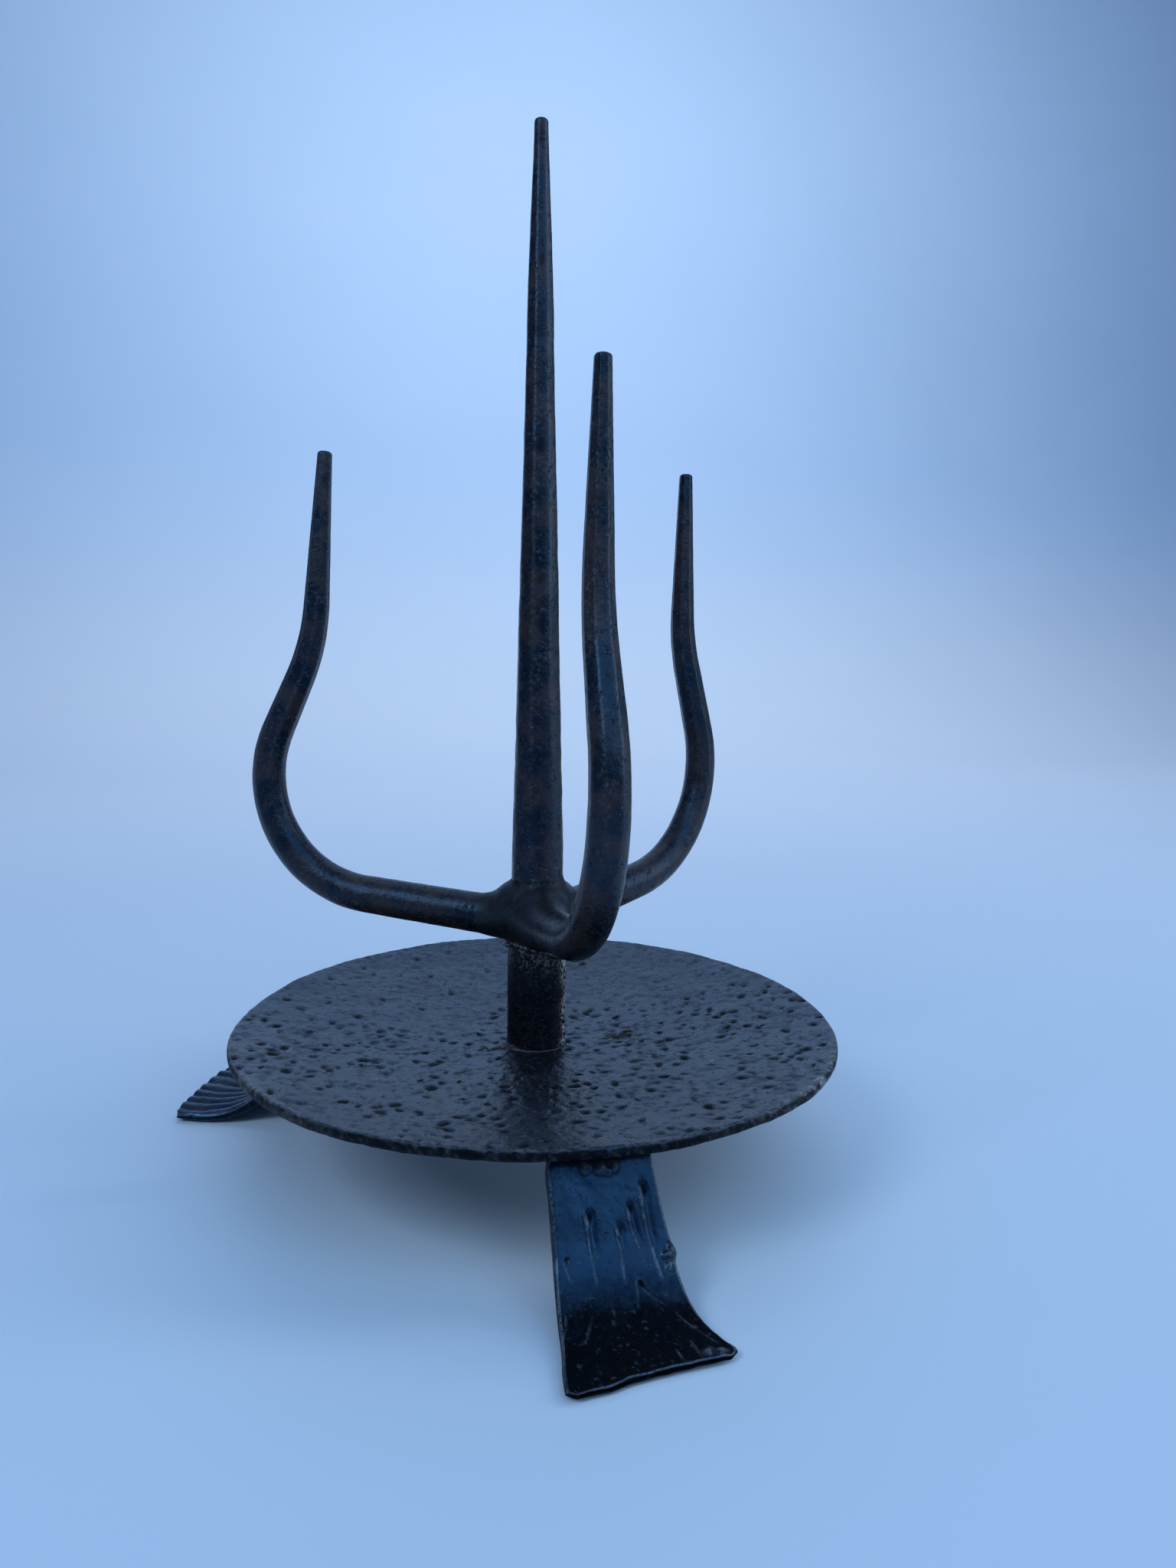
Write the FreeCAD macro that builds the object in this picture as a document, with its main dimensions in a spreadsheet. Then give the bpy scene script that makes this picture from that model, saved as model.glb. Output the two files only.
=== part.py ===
import FreeCAD, Part
import math
import os
import Sketcher
from FreeCAD import Vector

# Forged iron pricket candle stand.
# Row frame: +Z up, front leg towards -Y. The origin is on the table, midway between
# the front foot's end and the back of the plate's rim; the spike stands behind it.
# Lengths are in millimetres and angles in degrees.

PLATE_SIZES = {
    "plate_diameter": 250,
    "plate_thickness": 4,
    "plate_dish": 10,
    "plate_height": 47,
    "rim_round": 1.5,
}
POST_SIZES = {
    "post_diameter": 25,
    "post_length": 44,
}
SPIKE_SIZES = {
    "spike_length": 326.5,
    "spike_base_diameter": 22,
    "spike_shoulder_height": 35,
    "spike_shoulder_diameter": 21.4,
    "spike_waist_height": 235,
    "spike_waist_diameter": 11.4,
    "spike_tip_diameter": 5.6,
    "spike_tip_round": 1.6,
}
ARM_SIZES = {
    "arm_hub_diameter": 17.2,
    "arm_elbow_diameter": 16,
    "arm_cheek_diameter": 13.2,
    "arm_throat_diameter": 11.9,
    "arm_neck_diameter": 10.3,
    "arm_tip_diameter": 5.7,
    "arm_seat_gap": 0.4,
    "arm_root_sink": 3,
}
# Each arm was bent by hand, so each has its own run, bend, lean and return.
ARM_FRONT_SIZES = {
    "front_azimuth": 269.5,
    "front_rise": 7.8,
    "front_run": 50.6,
    "front_bend": 59.6,
    "front_lean": 20.9,
    "front_lean_run": 24.3,
    "front_return": 84.9,
    "front_tip_lean": -1.7,
    "front_tip_run": 63.1,
}
ARM_LEFT_SIZES = {
    "left_azimuth": 153.7,
    "left_rise": 5.8,
    "left_run": 68.9,
    "left_bend": 49.5,
    "left_lean": 25.2,
    "left_lean_run": 24,
    "left_return": 91.4,
    "left_tip_lean": 4.2,
    "left_tip_run": 63.1,
}
ARM_RIGHT_SIZES = {
    "right_azimuth": 30.7,
    "right_rise": 9.3,
    "right_run": 55.3,
    "right_bend": 52.7,
    "right_lean": 18,
    "right_lean_run": 29.9,
    "right_return": 84.6,
    "right_tip_lean": -0.2,
    "right_tip_run": 62.6,
}
LEG_SIZES = {
    "leg_front_azimuth": 270,
    "leg_left_azimuth": 148,
    "leg_right_azimuth": 30,
    "leg_thickness": 5,
    "leg_inner_reach": 45,
    "leg_seat_length": 52,
    "leg_bedding": 0.5,
    "leg_top_bend": 9,
    "leg_slope": 62,
    "leg_foot_bend": 40,
    "leg_reach": 158,
    "leg_bar_width": 35.5,
    "leg_shin_width": 40,
    "leg_ankle_width": 47.5,
    "leg_foot_width": 55,
    "leg_end_thickness": 2.6,
    "leg_shin_share": 0.5,
}
WELD_SIZES = {
    "hub_weld_reach": 11,
    "hub_weld_lift": 4.5,
    "hub_weld_slope": 12,
    "hub_weld_root_diameter": 27,
    "hub_weld_toe_diameter": 19.5,
    "hub_waist_diameter": 35,
    "hub_waist_lift": 3.7,
    "hub_profile_radius": 26,
    "seam_bead": 1.8,
    "seam_drop": 2.6,
    "foot_bead": 2.6,
    "leg_bead": 3,
    "leg_side_bead_length": 38,
    "leg_front_bead_length": 26,
}

SIZES = {}
for group in (PLATE_SIZES, POST_SIZES, SPIKE_SIZES, ARM_SIZES, ARM_FRONT_SIZES,
              ARM_LEFT_SIZES, ARM_RIGHT_SIZES, LEG_SIZES, WELD_SIZES):
    SIZES.update(group)

doc = FreeCAD.newDocument("PricketStand")
sheet = doc.addObject("Spreadsheet::Sheet", "Sizes")
for row, (alias, amount) in enumerate(SIZES.items(), start=1):
    sheet.set(f"A{row}", alias)
    sheet.set(f"B{row}", str(amount))
    sheet.setAlias(f"B{row}", alias)
doc.recompute()

# Sizes that follow from the driving ones, as expressions on the sheet
PLATE_RADIUS = "(Sizes.plate_diameter / 2)"
AXIS_BACK = f"((Sizes.leg_reach - {PLATE_RADIUS}) / 2)"
DISH_RADIUS = f"(({PLATE_RADIUS}^2 + Sizes.plate_dish^2) / (2 * Sizes.plate_dish))"
UNDER_RADIUS = f"({DISH_RADIUS} + Sizes.plate_thickness)"
UNDER_HEIGHT = "(Sizes.plate_height - Sizes.plate_thickness)"
POST_TOP = "(Sizes.plate_height + Sizes.post_length)"
HUB_HEIGHT = f"({POST_TOP} + Sizes.arm_seat_gap + Sizes.arm_hub_diameter / 2)"
ARM_START = "(Sizes.spike_base_diameter / 2 - Sizes.arm_root_sink)"
SEAT_MIDDLE = "(Sizes.leg_inner_reach + Sizes.leg_seat_length / 2)"
SEAT_SLOPE = f"asin({SEAT_MIDDLE} / {UNDER_RADIUS})"
SEAT_HEIGHT = f"({UNDER_HEIGHT} + {UNDER_RADIUS} * (1 - cos({SEAT_SLOPE})))"
SEAT_DEPTH = "(Sizes.leg_thickness / 2 - Sizes.leg_bedding)"


def number(expression):
    """Value of an expression on the sheet: millimetres, degrees or a plain number."""
    value = sheet.evalExpression(expression)
    return float(getattr(value, "Value", value))


def on_axis(azimuth, place="vector(0; 0; 0)", aim="rotation(vector(0; 0; 1); 0)"):
    """Placement expression for a place and aim given from the spike's axis."""
    bearing = f"rotation(vector(0; 0; 1); {azimuth} * 1deg)"
    return f"placement(vector(0; {AXIS_BACK}; 0); {bearing}) * placement({place}; {aim})"


def origin_plane(body, role):
    """The body's own origin plane with this role."""
    return next(feature for feature in body.Origin.OriginFeatures if feature.Role == role)


def new_body(label, azimuth="0"):
    """A body of its own on the spike's axis, turned about it to its azimuth."""
    body = doc.addObject("PartDesign::Body", label.title().replace("_", ""))
    body.Label = label
    body.setExpression("Placement", on_axis(azimuth))
    return body


def new_sketch(body, name, role="XZ_Plane"):
    """A sketch on one of the body's own origin planes."""
    sketch = body.newObject("Sketcher::SketchObject", name)
    sketch.AttachmentSupport = (origin_plane(body, role), [""])
    sketch.MapMode = "FlatFace"
    return sketch


def fix(sketch, name, expression, kind, *where):
    """Add a named dimension to a sketch and tie it to the sheet."""
    amount = number(expression)
    if kind == "Angle":
        amount = math.radians(amount)
    index = sketch.addConstraint(Sketcher.Constraint(kind, *where, amount))
    sketch.renameConstraint(index, name)
    sketch.setExpression(f"Constraints.{name}", expression)


def hold_point(sketch, name, across, up, geometry, vertex):
    """Tie a vertex to the sketch's origin by its two distances."""
    if across == "0":
        sketch.addConstraint(Sketcher.Constraint("PointOnObject", geometry, vertex, -2))
    else:
        fix(sketch, f"{name}_across", across, "DistanceX", -1, 1, geometry, vertex)
    fix(sketch, f"{name}_up", up, "DistanceY", -1, 1, geometry, vertex)


def outline(sketch, points):
    """Close a straight-sided outline through named points, each (name, across, up)."""
    places = [Vector(number(across), number(up), 0) for _, across, up in points]
    for index, place in enumerate(places):
        following = places[(index + 1) % len(places)]
        sketch.addGeometry(Part.LineSegment(place, following))
    for index, (name, across, up) in enumerate(points):
        previous = (index - 1) % len(points)
        sketch.addConstraint(Sketcher.Constraint("Coincident", previous, 2, index, 1))
        hold_point(sketch, name, across, up, index, 1)


def revolve(body, name, sketch):
    """Turn a profile once round the body's Z axis."""
    turned = body.newObject("PartDesign::Revolution", name)
    turned.Profile = sketch
    turned.ReferenceAxis = (sketch, ["V_Axis"])
    turned.Angle = 360
    return turned


def fillet(body, name, base, wanted, radius):
    """Round the edges of the base feature that the test picks."""
    doc.recompute()
    edges = [f"Edge{index}" for index, edge in enumerate(base.Shape.Edges, start=1)
             if wanted(edge)]
    rounded = body.newObject("PartDesign::Fillet", name)
    rounded.Base = (base, edges)
    rounded.Radius = number(radius)
    rounded.setExpression("Radius", radius)
    body.Tip = rounded
    return rounded


def along(angle):
    """Unit vector at this angle in the plane of a path."""
    return Vector(math.cos(math.radians(angle)), math.sin(math.radians(angle)), 0)


def bent_path(sketch, start, slopes, lengths, radii, end=None):
    """Draw straight runs joined by tangent arcs.

    Each run has a slope. Each has a length too, but where an end point is given
    the last two runs take what length they need to reach it.
    """
    angles = [number(slope) for slope in slopes]
    across_start, up_start = start
    place = Vector(number(across_start), number(up_start), 0)
    bends = []
    for index, radius in enumerate(radii):
        side = math.copysign(number(radius), angles[index + 1] - angles[index])
        step = (along(angles[index] + 90) - along(angles[index + 1] + 90)) * side
        bends.append((side, step))
    spans = [number(length) for length in lengths]
    if end:
        reach = Vector(number(end[0]), number(end[1]), 0) - place
        for span, angle in zip(spans, angles):
            reach -= along(angle) * span
        for _, step in bends:
            reach -= step
        falling, level = along(angles[-2]), along(angles[-1])
        cross = falling.x * level.y - falling.y * level.x
        spans.append((reach.x * level.y - reach.y * level.x) / cross)
        spans.append((falling.x * reach.y - falling.y * reach.x) / cross)

    runs = []
    arcs = []
    for index, (angle, span) in enumerate(zip(angles, spans)):
        after = place + along(angle) * span
        runs.append(sketch.addGeometry(Part.LineSegment(place, after)))
        place = after
        if index < len(bends):
            side, step = bends[index]
            centre = place + along(angle + 90) * side
            quarter = -90 if side > 0 else 90
            turn = sorted((angle + quarter, angles[index + 1] + quarter))
            circle = Part.Circle(centre, Vector(0, 0, 1), abs(side))
            arc = Part.ArcOfCircle(circle, math.radians(turn[0]), math.radians(turn[1]))
            arcs.append(sketch.addGeometry(arc))
            place = place + step

    for index, arc in enumerate(arcs):
        first, last = (1, 2) if bends[index][0] > 0 else (2, 1)
        sketch.addConstraint(Sketcher.Constraint("Tangent", runs[index], 2, arc, first))
        sketch.addConstraint(Sketcher.Constraint("Tangent", arc, last, runs[index + 1], 1))
        fix(sketch, f"radius_{index}", radii[index], "Radius", arc)
    hold_point(sketch, "start", across_start, up_start, runs[0], 1)
    for index, slope in enumerate(slopes):
        if abs(angles[index]) > 0:
            fix(sketch, f"slope_{index}", slope, "Angle", runs[index])
        else:
            sketch.addConstraint(Sketcher.Constraint("Horizontal", runs[index]))
    for index, length in enumerate(lengths):
        fix(sketch, f"length_{index}", length, "Distance", runs[index])
    if end:
        hold_point(sketch, "end", end[0], end[1], runs[-1], 2)


def station(body, name, path, edge, share):
    """A sketch square to the path, at this share of one of its edges."""
    sketch = body.newObject("Sketcher::SketchObject", name)
    sketch.AttachmentSupport = (path, [f"Edge{edge}"])
    sketch.MapMode = "NormalToEdge"
    sketch.MapPathParameter = number(share)
    sketch.setExpression("MapPathParameter", share)
    return sketch


def round_station(body, name, path, edge, share, diameter):
    """A round bar's section on its path."""
    sketch = station(body, name, path, edge, share)
    sketch.addGeometry(Part.Circle(Vector(), Vector(0, 0, 1), number(diameter) / 2))
    sketch.addConstraint(Sketcher.Constraint("Coincident", 0, 3, -1, 1))
    fix(sketch, "diameter", diameter, "Diameter", 0)
    return sketch


def flat_station(body, name, path, edge, share, width, thickness):
    """A flat bar's section on its path, with its lower face at a steady depth."""
    sketch = station(body, name, path, edge, share)
    lower = "(-Sizes.leg_thickness / 2)"
    upper = f"({lower} + {thickness})"
    left, right = f"(-{width} / 2)", f"({width} / 2)"
    outline(sketch, [
        ("low_left", left, lower),
        ("low_right", right, lower),
        ("high_right", right, upper),
        ("high_left", left, upper),
    ])
    return sketch


def sweep(body, name, path, edges, sections):
    """Sweep a bar along some edges of its path, from section to section."""
    bar = body.newObject("PartDesign::AdditivePipe", name)
    bar.Profile = sections[0]
    bar.Spine = (path, [f"Edge{edge}" for edge in edges])
    if len(sections) > 1:
        bar.Transformation = "Multisection"
        bar.Sections = sections[1:]
    body.Tip = bar
    return bar


def taper(body, name, path, diameter, end_diameter, length):
    """A straight taper along the first edge of a path."""
    cone = body.newObject("PartDesign::AdditiveCone", name)
    cone.AttachmentSupport = (path, ["Edge1"])
    cone.MapMode = "NormalToEdge"
    cone.MapPathParameter = 0
    cone.MapReversed = True
    for setting, expression in (("Radius1", f"{diameter} / 2"),
                                ("Radius2", f"{end_diameter} / 2"), ("Height", length)):
        setattr(cone, setting, number(expression))
        cone.setExpression(setting, expression)
    body.Tip = cone
    return cone


def joined(kind, name, members):
    """Several shapes as one tool: a compound or a union."""
    group = doc.addObject(kind, name)
    if kind == "Part::Compound":
        group.Links = members
    else:
        group.Shapes = members
    return group


def fitted(label, piece, neighbours):
    """The piece as it is dressed to meet its neighbours face to face."""
    name = label.title().replace("_", "")
    cut = doc.addObject("Part::Cut", name + "Fitted")
    cut.Base = piece
    if len(neighbours) == 1:
        cut.Tool = neighbours[0]
    else:
        cut.Tool = joined("Part::Compound", name + "Neighbours", neighbours)
    cut.Label = label
    return cut


# Drip plate: a dished disc with a softened rim
def make_plate():
    body = new_body("drip_plate")
    sketch = new_sketch(body, "PlateProfile")
    radius = number(PLATE_RADIUS)
    top = number("Sizes.plate_height")
    thickness = number("Sizes.plate_thickness")
    dish_radius = number(DISH_RADIUS)
    centre = Vector(0, top + dish_radius, 0)
    faces = []
    for face_radius in (dish_radius, dish_radius + thickness):
        lean = math.asin(radius / face_radius)
        circle = Part.Circle(centre, Vector(0, 0, 1), face_radius)
        arc = Part.ArcOfCircle(circle, -math.pi / 2, lean - math.pi / 2)
        faces.append((sketch.addGeometry(arc), arc))
    (upper, upper_arc), (lower, lower_arc) = faces
    edge = sketch.addGeometry(Part.LineSegment(upper_arc.EndPoint, lower_arc.EndPoint))
    axis = sketch.addGeometry(Part.LineSegment(lower_arc.StartPoint, upper_arc.StartPoint))
    for joint in ((upper, 2, edge, 1), (edge, 2, lower, 2), (lower, 1, axis, 1),
                  (axis, 2, upper, 1), (upper, 3, lower, 3)):
        sketch.addConstraint(Sketcher.Constraint("Coincident", *joint))
    sketch.addConstraint(Sketcher.Constraint("PointOnObject", upper, 3, -2))
    sketch.addConstraint(Sketcher.Constraint("Vertical", edge))
    hold_point(sketch, "centre_top", "0", "Sizes.plate_height", upper, 1)
    hold_point(sketch, "rim_top", PLATE_RADIUS, "Sizes.plate_height + Sizes.plate_dish",
               upper, 2)
    hold_point(sketch, "centre_under", "0", UNDER_HEIGHT, lower, 1)
    dish = revolve(body, "Dish", sketch)

    def on_rim(edge):
        return math.isclose(edge.BoundBox.XLength, 2 * radius, rel_tol=1e-6)

    fillet(body, "RimRound", dish, on_rim, "Sizes.rim_round")
    return body


# Post: a short round bar, dressed to the plate's dish at its foot
def make_post(plate):
    body = new_body("post_bar")
    sketch = new_sketch(body, "PostProfile")
    radius = "Sizes.post_diameter / 2"
    buried = "(Sizes.plate_height - Sizes.plate_thickness / 2)"
    outline(sketch, [
        ("foot_axis", "0", buried),
        ("foot_edge", radius, buried),
        ("top_edge", radius, POST_TOP),
        ("top_axis", "0", POST_TOP),
    ])
    revolve(body, "PostTurned", sketch)
    return fitted("post", body, [plate])


# Spike: a bar drawn out to a blunt point, standing on the post
def make_spike():
    body = new_body("spike")
    sketch = new_sketch(body, "SpikeProfile")
    outline(sketch, [
        ("foot_axis", "0", POST_TOP),
        ("foot", "Sizes.spike_base_diameter / 2", POST_TOP),
        ("shoulder", "Sizes.spike_shoulder_diameter / 2",
         f"{POST_TOP} + Sizes.spike_shoulder_height"),
        ("waist", "Sizes.spike_waist_diameter / 2",
         f"{POST_TOP} + Sizes.spike_waist_height"),
        ("tip", "Sizes.spike_tip_diameter / 2", f"{POST_TOP} + Sizes.spike_length"),
        ("tip_axis", "0", f"{POST_TOP} + Sizes.spike_length"),
    ])
    taper = revolve(body, "SpikeTaper", sketch)
    top = number(f"{POST_TOP} + Sizes.spike_length")

    def at_tip(edge):
        return math.isclose(edge.BoundBox.ZMin, top, rel_tol=1e-6)

    fillet(body, "SpikeTip", taper, at_tip, "Sizes.spike_tip_round")
    return body


# Arms: round bars swept up from the hub, leaning in and returning to plumb
def make_arm(name, neighbours):
    def own(size):
        return f"Sizes.{name}_{size}"

    body = new_body(f"arm_{name}_bar", own("azimuth"))
    path = new_sketch(body, f"Arm{name.title()}Path")
    bent_path(
        path,
        start=(ARM_START, HUB_HEIGHT),
        slopes=[f"{own('rise')} * 1deg", f"(90 + {own('lean')}) * 1deg",
                f"(90 + {own('tip_lean')}) * 1deg"],
        lengths=[own("run"), own("lean_run"), own("tip_run")],
        radii=[own("bend"), own("return")],
    )
    doc.recompute()
    title = f"Arm{name.title()}"
    taper(body, f"{title}Root", path, "Sizes.arm_hub_diameter",
          "Sizes.arm_elbow_diameter", own("run"))
    elbow, lean, back, tip = range(2, 6)
    places = [("Elbow", elbow, "0"), ("Cheek", lean, "0"), ("Throat", lean, "1"),
              ("Neck", tip, "0"), ("Tip", tip, "1")]
    sections = [
        round_station(body, title + place, path, edge, share,
                      f"Sizes.arm_{place.lower()}_diameter")
        for place, edge, share in places
    ]
    stretches = zip((elbow, lean, back, tip), sections, sections[1:])
    for edge, start_section, end_section in stretches:
        sweep(body, f"{title}Stretch{edge}", path, [edge], [start_section, end_section])
    return fitted(f"arm_{name}", body, neighbours)


# Legs: flat bars bedded under the plate, bent down and spread into broad feet
def make_leg(name, plate):
    title = f"Leg{name.title()}"
    body = new_body(f"leg_{name}_bar", f"Sizes.leg_{name}_azimuth")
    path = new_sketch(body, f"{title}Path")
    bent_path(
        path,
        start=(f"{SEAT_MIDDLE} + {SEAT_DEPTH} * sin({SEAT_SLOPE})"
               f" - Sizes.leg_seat_length / 2 * cos({SEAT_SLOPE})",
               f"{SEAT_HEIGHT} - {SEAT_DEPTH} * cos({SEAT_SLOPE})"
               f" - Sizes.leg_seat_length / 2 * sin({SEAT_SLOPE})"),
        slopes=[SEAT_SLOPE, "-Sizes.leg_slope * 1deg", "0 * 1deg"],
        lengths=["Sizes.leg_seat_length"],
        radii=["Sizes.leg_top_bend", "Sizes.leg_foot_bend"],
        end=("Sizes.leg_reach", "Sizes.leg_thickness / 2"),
    )
    doc.recompute()
    full = "Sizes.leg_thickness"
    seat, knee, shin, foot_bend, sole = range(1, 6)
    inner = flat_station(body, f"{title}Inner", path, seat, "0",
                         "Sizes.leg_bar_width", full)
    top = flat_station(body, f"{title}Top", path, foot_bend, "0",
                       "Sizes.leg_bar_width", full)
    middle = flat_station(body, f"{title}Middle", path, foot_bend,
                          "Sizes.leg_shin_share", "Sizes.leg_shin_width", full)
    ankle = flat_station(body, f"{title}Ankle", path, sole, "0",
                         "Sizes.leg_ankle_width", full)
    toe = flat_station(body, f"{title}Toe", path, sole, "1",
                       "Sizes.leg_foot_width", "Sizes.leg_end_thickness")
    sweep(body, f"{title}Bar", path, [seat, knee, shin], [inner])
    sweep(body, f"{title}Spread", path, [foot_bend], [top, middle, ankle])
    sweep(body, f"{title}Foot", path, [sole], [ankle, toe])
    return fitted(f"leg_{name}", body, [plate])


# Leg welds: a bead down each side of the seat and one across the bend
def make_leg_weld(name, leg, plate):
    title = f"Leg{name.title()}"

    def bead(bead_name, across, side, up, aim, length):
        rod = doc.addObject("Part::Cylinder", title + bead_name)
        rod.setExpression("Radius", "Sizes.leg_bead")
        rod.setExpression("Height", length)
        place = f"vector({across}; {side}; {up})"
        rod.setExpression("Placement", on_axis(f"Sizes.leg_{name}_azimuth", place, aim))
        return rod

    half_side = "Sizes.leg_side_bead_length / 2"
    uphill = f"rotation(vector(0; 1; 0); 90deg - {SEAT_SLOPE})"
    beads = [
        bead(f"{side_name}Bead",
             f"{SEAT_MIDDLE} - {half_side} * cos({SEAT_SLOPE})",
             f"{sign}Sizes.leg_bar_width / 2",
             f"{SEAT_HEIGHT} + Sizes.leg_bedding - {half_side} * sin({SEAT_SLOPE})",
             uphill, "Sizes.leg_side_bead_length")
        for side_name, sign in (("Left", ""), ("Right", "-"))
    ]
    beyond = "(Sizes.leg_seat_length / 2 + Sizes.leg_bead / 2)"
    sideways = "rotation(vector(1; 0; 0); -90deg)"
    beads.append(bead("FrontBead",
                      f"{SEAT_MIDDLE} + {beyond} * cos({SEAT_SLOPE})",
                      "-Sizes.leg_front_bead_length / 2",
                      f"{SEAT_HEIGHT} + Sizes.leg_bedding + {beyond} * sin({SEAT_SLOPE})",
                      sideways, "Sizes.leg_front_bead_length"))
    doc.recompute()
    group = joined("Part::Compound", f"{title}Beads", beads)
    return fitted(f"leg_{name}_weld", group, [plate, leg])


# Hub weld: the lump of weld metal that gathers spike, arms and post
def make_hub_weld(neighbours):
    core = new_body("hub_core")
    sketch = new_sketch(core, "CoreProfile")
    bulge = "Sizes.hub_profile_radius"
    inset = f"({bulge} - Sizes.hub_waist_diameter / 2)"
    waist = f"({HUB_HEIGHT} + Sizes.hub_waist_lift)"
    half_height = math.sqrt(number(bulge) ** 2 - number(inset) ** 2)
    half_turn = math.atan2(half_height, number(inset))
    circle = Part.Circle(Vector(-number(inset), number(waist), 0), Vector(0, 0, 1),
                         number(bulge))
    arc = Part.ArcOfCircle(circle, -half_turn, half_turn)
    side = sketch.addGeometry(arc)
    axis = sketch.addGeometry(Part.LineSegment(arc.EndPoint, arc.StartPoint))
    sketch.addConstraint(Sketcher.Constraint("Coincident", side, 2, axis, 1))
    sketch.addConstraint(Sketcher.Constraint("Coincident", side, 1, axis, 2))
    sketch.addConstraint(Sketcher.Constraint("PointOnObject", axis, 1, -2))
    sketch.addConstraint(Sketcher.Constraint("PointOnObject", axis, 2, -2))
    fix(sketch, "bulge", bulge, "Radius", side)
    fix(sketch, "inset", f"-{inset}", "DistanceX", -1, 1, side, 3)
    fix(sketch, "waist", waist, "DistanceY", -1, 1, side, 3)
    revolve(core, "CoreTurned", sketch)
    lumps = [core]
    for name in ("front", "left", "right"):
        lump = new_body(f"{name}_lump", f"Sizes.{name}_azimuth")
        path = new_sketch(lump, f"{name.title()}LumpPath")
        bent_path(
            path,
            start=(ARM_START, f"{HUB_HEIGHT} + Sizes.hub_weld_lift"),
            slopes=["-Sizes.hub_weld_slope * 1deg"],
            lengths=["Sizes.arm_root_sink + Sizes.hub_weld_reach"],
            radii=[],
        )
        doc.recompute()
        taper(lump, f"{name.title()}LumpCone", path, "Sizes.hub_weld_root_diameter",
              "Sizes.hub_weld_toe_diameter",
              "Sizes.arm_root_sink + Sizes.hub_weld_reach")
        lumps.append(lump)
    metal = joined("Part::MultiFuse", "HubMetal", lumps)
    return fitted("hub_weld", metal, neighbours)


# Ring beads: weld run round the post at its top and at its foot
def make_ring_weld(label, height, bead, neighbours):
    ring = doc.addObject("Part::Torus", label.title().replace("_", "") + "Ring")
    ring.setExpression("Radius1", "Sizes.post_diameter / 2")
    ring.setExpression("Radius2", bead)
    ring.setExpression("Placement", on_axis("0", f"vector(0; 0; {height})"))
    doc.recompute()
    return fitted(label, ring, neighbours)


def check(piece):
    """Stop on a failed feature or an empty or broken shape."""
    for thing in doc.Objects:
        if "Invalid" in thing.State or "Error" in thing.State:
            raise RuntimeError(f"{thing.Label} failed: {thing.State}")
    shape = piece.Shape
    if shape.isNull() or not shape.isValid() or not shape.Solids:
        raise RuntimeError(f"{piece.Label} has no sound solid")


plate = make_plate()
post = make_post(plate)
spike = make_spike()
arms = []
for arm_name in ("front", "left", "right"):
    arms.append(make_arm(arm_name, [spike, post] + arms))
hub_weld = make_hub_weld([spike, post] + arms)
post_top_weld = make_ring_weld("post_top_weld", f"{POST_TOP} - Sizes.seam_drop",
                               "Sizes.seam_bead", [spike, post, hub_weld] + arms)
post_foot_weld = make_ring_weld("post_foot_weld", "Sizes.plate_height",
                                "Sizes.foot_bead", [post, plate])
legs = []
leg_welds = []
for leg_name in ("front", "left", "right"):
    leg = make_leg(leg_name, plate)
    legs.append(leg)
    leg_welds.append(make_leg_weld(leg_name, leg, plate))
doc.recompute()

pieces = [plate, post, spike, *arms, hub_weld, post_top_weld, post_foot_weld,
          *legs, *leg_welds]
for piece in pieces:
    check(piece)
os.makedirs("parts", exist_ok=True)
for piece in pieces:
    piece.Shape.exportStep(f"parts/{piece.Label}.step")
    box = piece.Shape.BoundBox
    print(f"{piece.Label}: {len(piece.Shape.Solids)} solid, {piece.Shape.Volume:.0f} mm3,"
          f" z {box.ZMin:.2f} to {box.ZMax:.2f}")
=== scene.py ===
# %% [markdown]
# # A forged iron pricket candle stand
#
# The real object is a smith's piece: a hammered drip plate on three flat legs, a short
# post, a tall spike and three bent arms, welded together and blackened.
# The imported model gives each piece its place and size. This lesson lays the hand-made
# surface over it: flats left by the hammer, dents, chisel grooves, weld metal and the
# worn, dark skin of old iron. Lengths are in metres.

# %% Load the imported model
import math

import bpy
import numpy as np
from mathutils import Matrix, Vector


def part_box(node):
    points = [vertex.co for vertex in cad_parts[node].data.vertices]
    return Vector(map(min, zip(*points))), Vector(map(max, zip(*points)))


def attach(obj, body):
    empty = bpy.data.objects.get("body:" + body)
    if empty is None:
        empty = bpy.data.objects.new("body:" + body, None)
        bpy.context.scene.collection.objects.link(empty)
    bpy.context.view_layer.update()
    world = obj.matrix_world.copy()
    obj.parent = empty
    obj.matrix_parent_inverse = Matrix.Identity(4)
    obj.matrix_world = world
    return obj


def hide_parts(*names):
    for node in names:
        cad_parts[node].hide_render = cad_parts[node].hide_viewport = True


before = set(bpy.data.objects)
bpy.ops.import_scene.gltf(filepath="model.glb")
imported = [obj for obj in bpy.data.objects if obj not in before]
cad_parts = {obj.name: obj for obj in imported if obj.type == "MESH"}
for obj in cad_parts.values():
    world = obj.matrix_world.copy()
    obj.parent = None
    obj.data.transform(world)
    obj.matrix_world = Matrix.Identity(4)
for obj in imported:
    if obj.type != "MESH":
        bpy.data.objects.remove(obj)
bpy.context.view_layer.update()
MM = 0.001
UP = np.array([0, 0, 1])

# %% [markdown]
# ## Where things are
#
# Every piece stands on the spike's axis, so the axis is read from the post's own box
# and the heights from the boxes of the pieces they belong to. Nothing is placed by eye.

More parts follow.
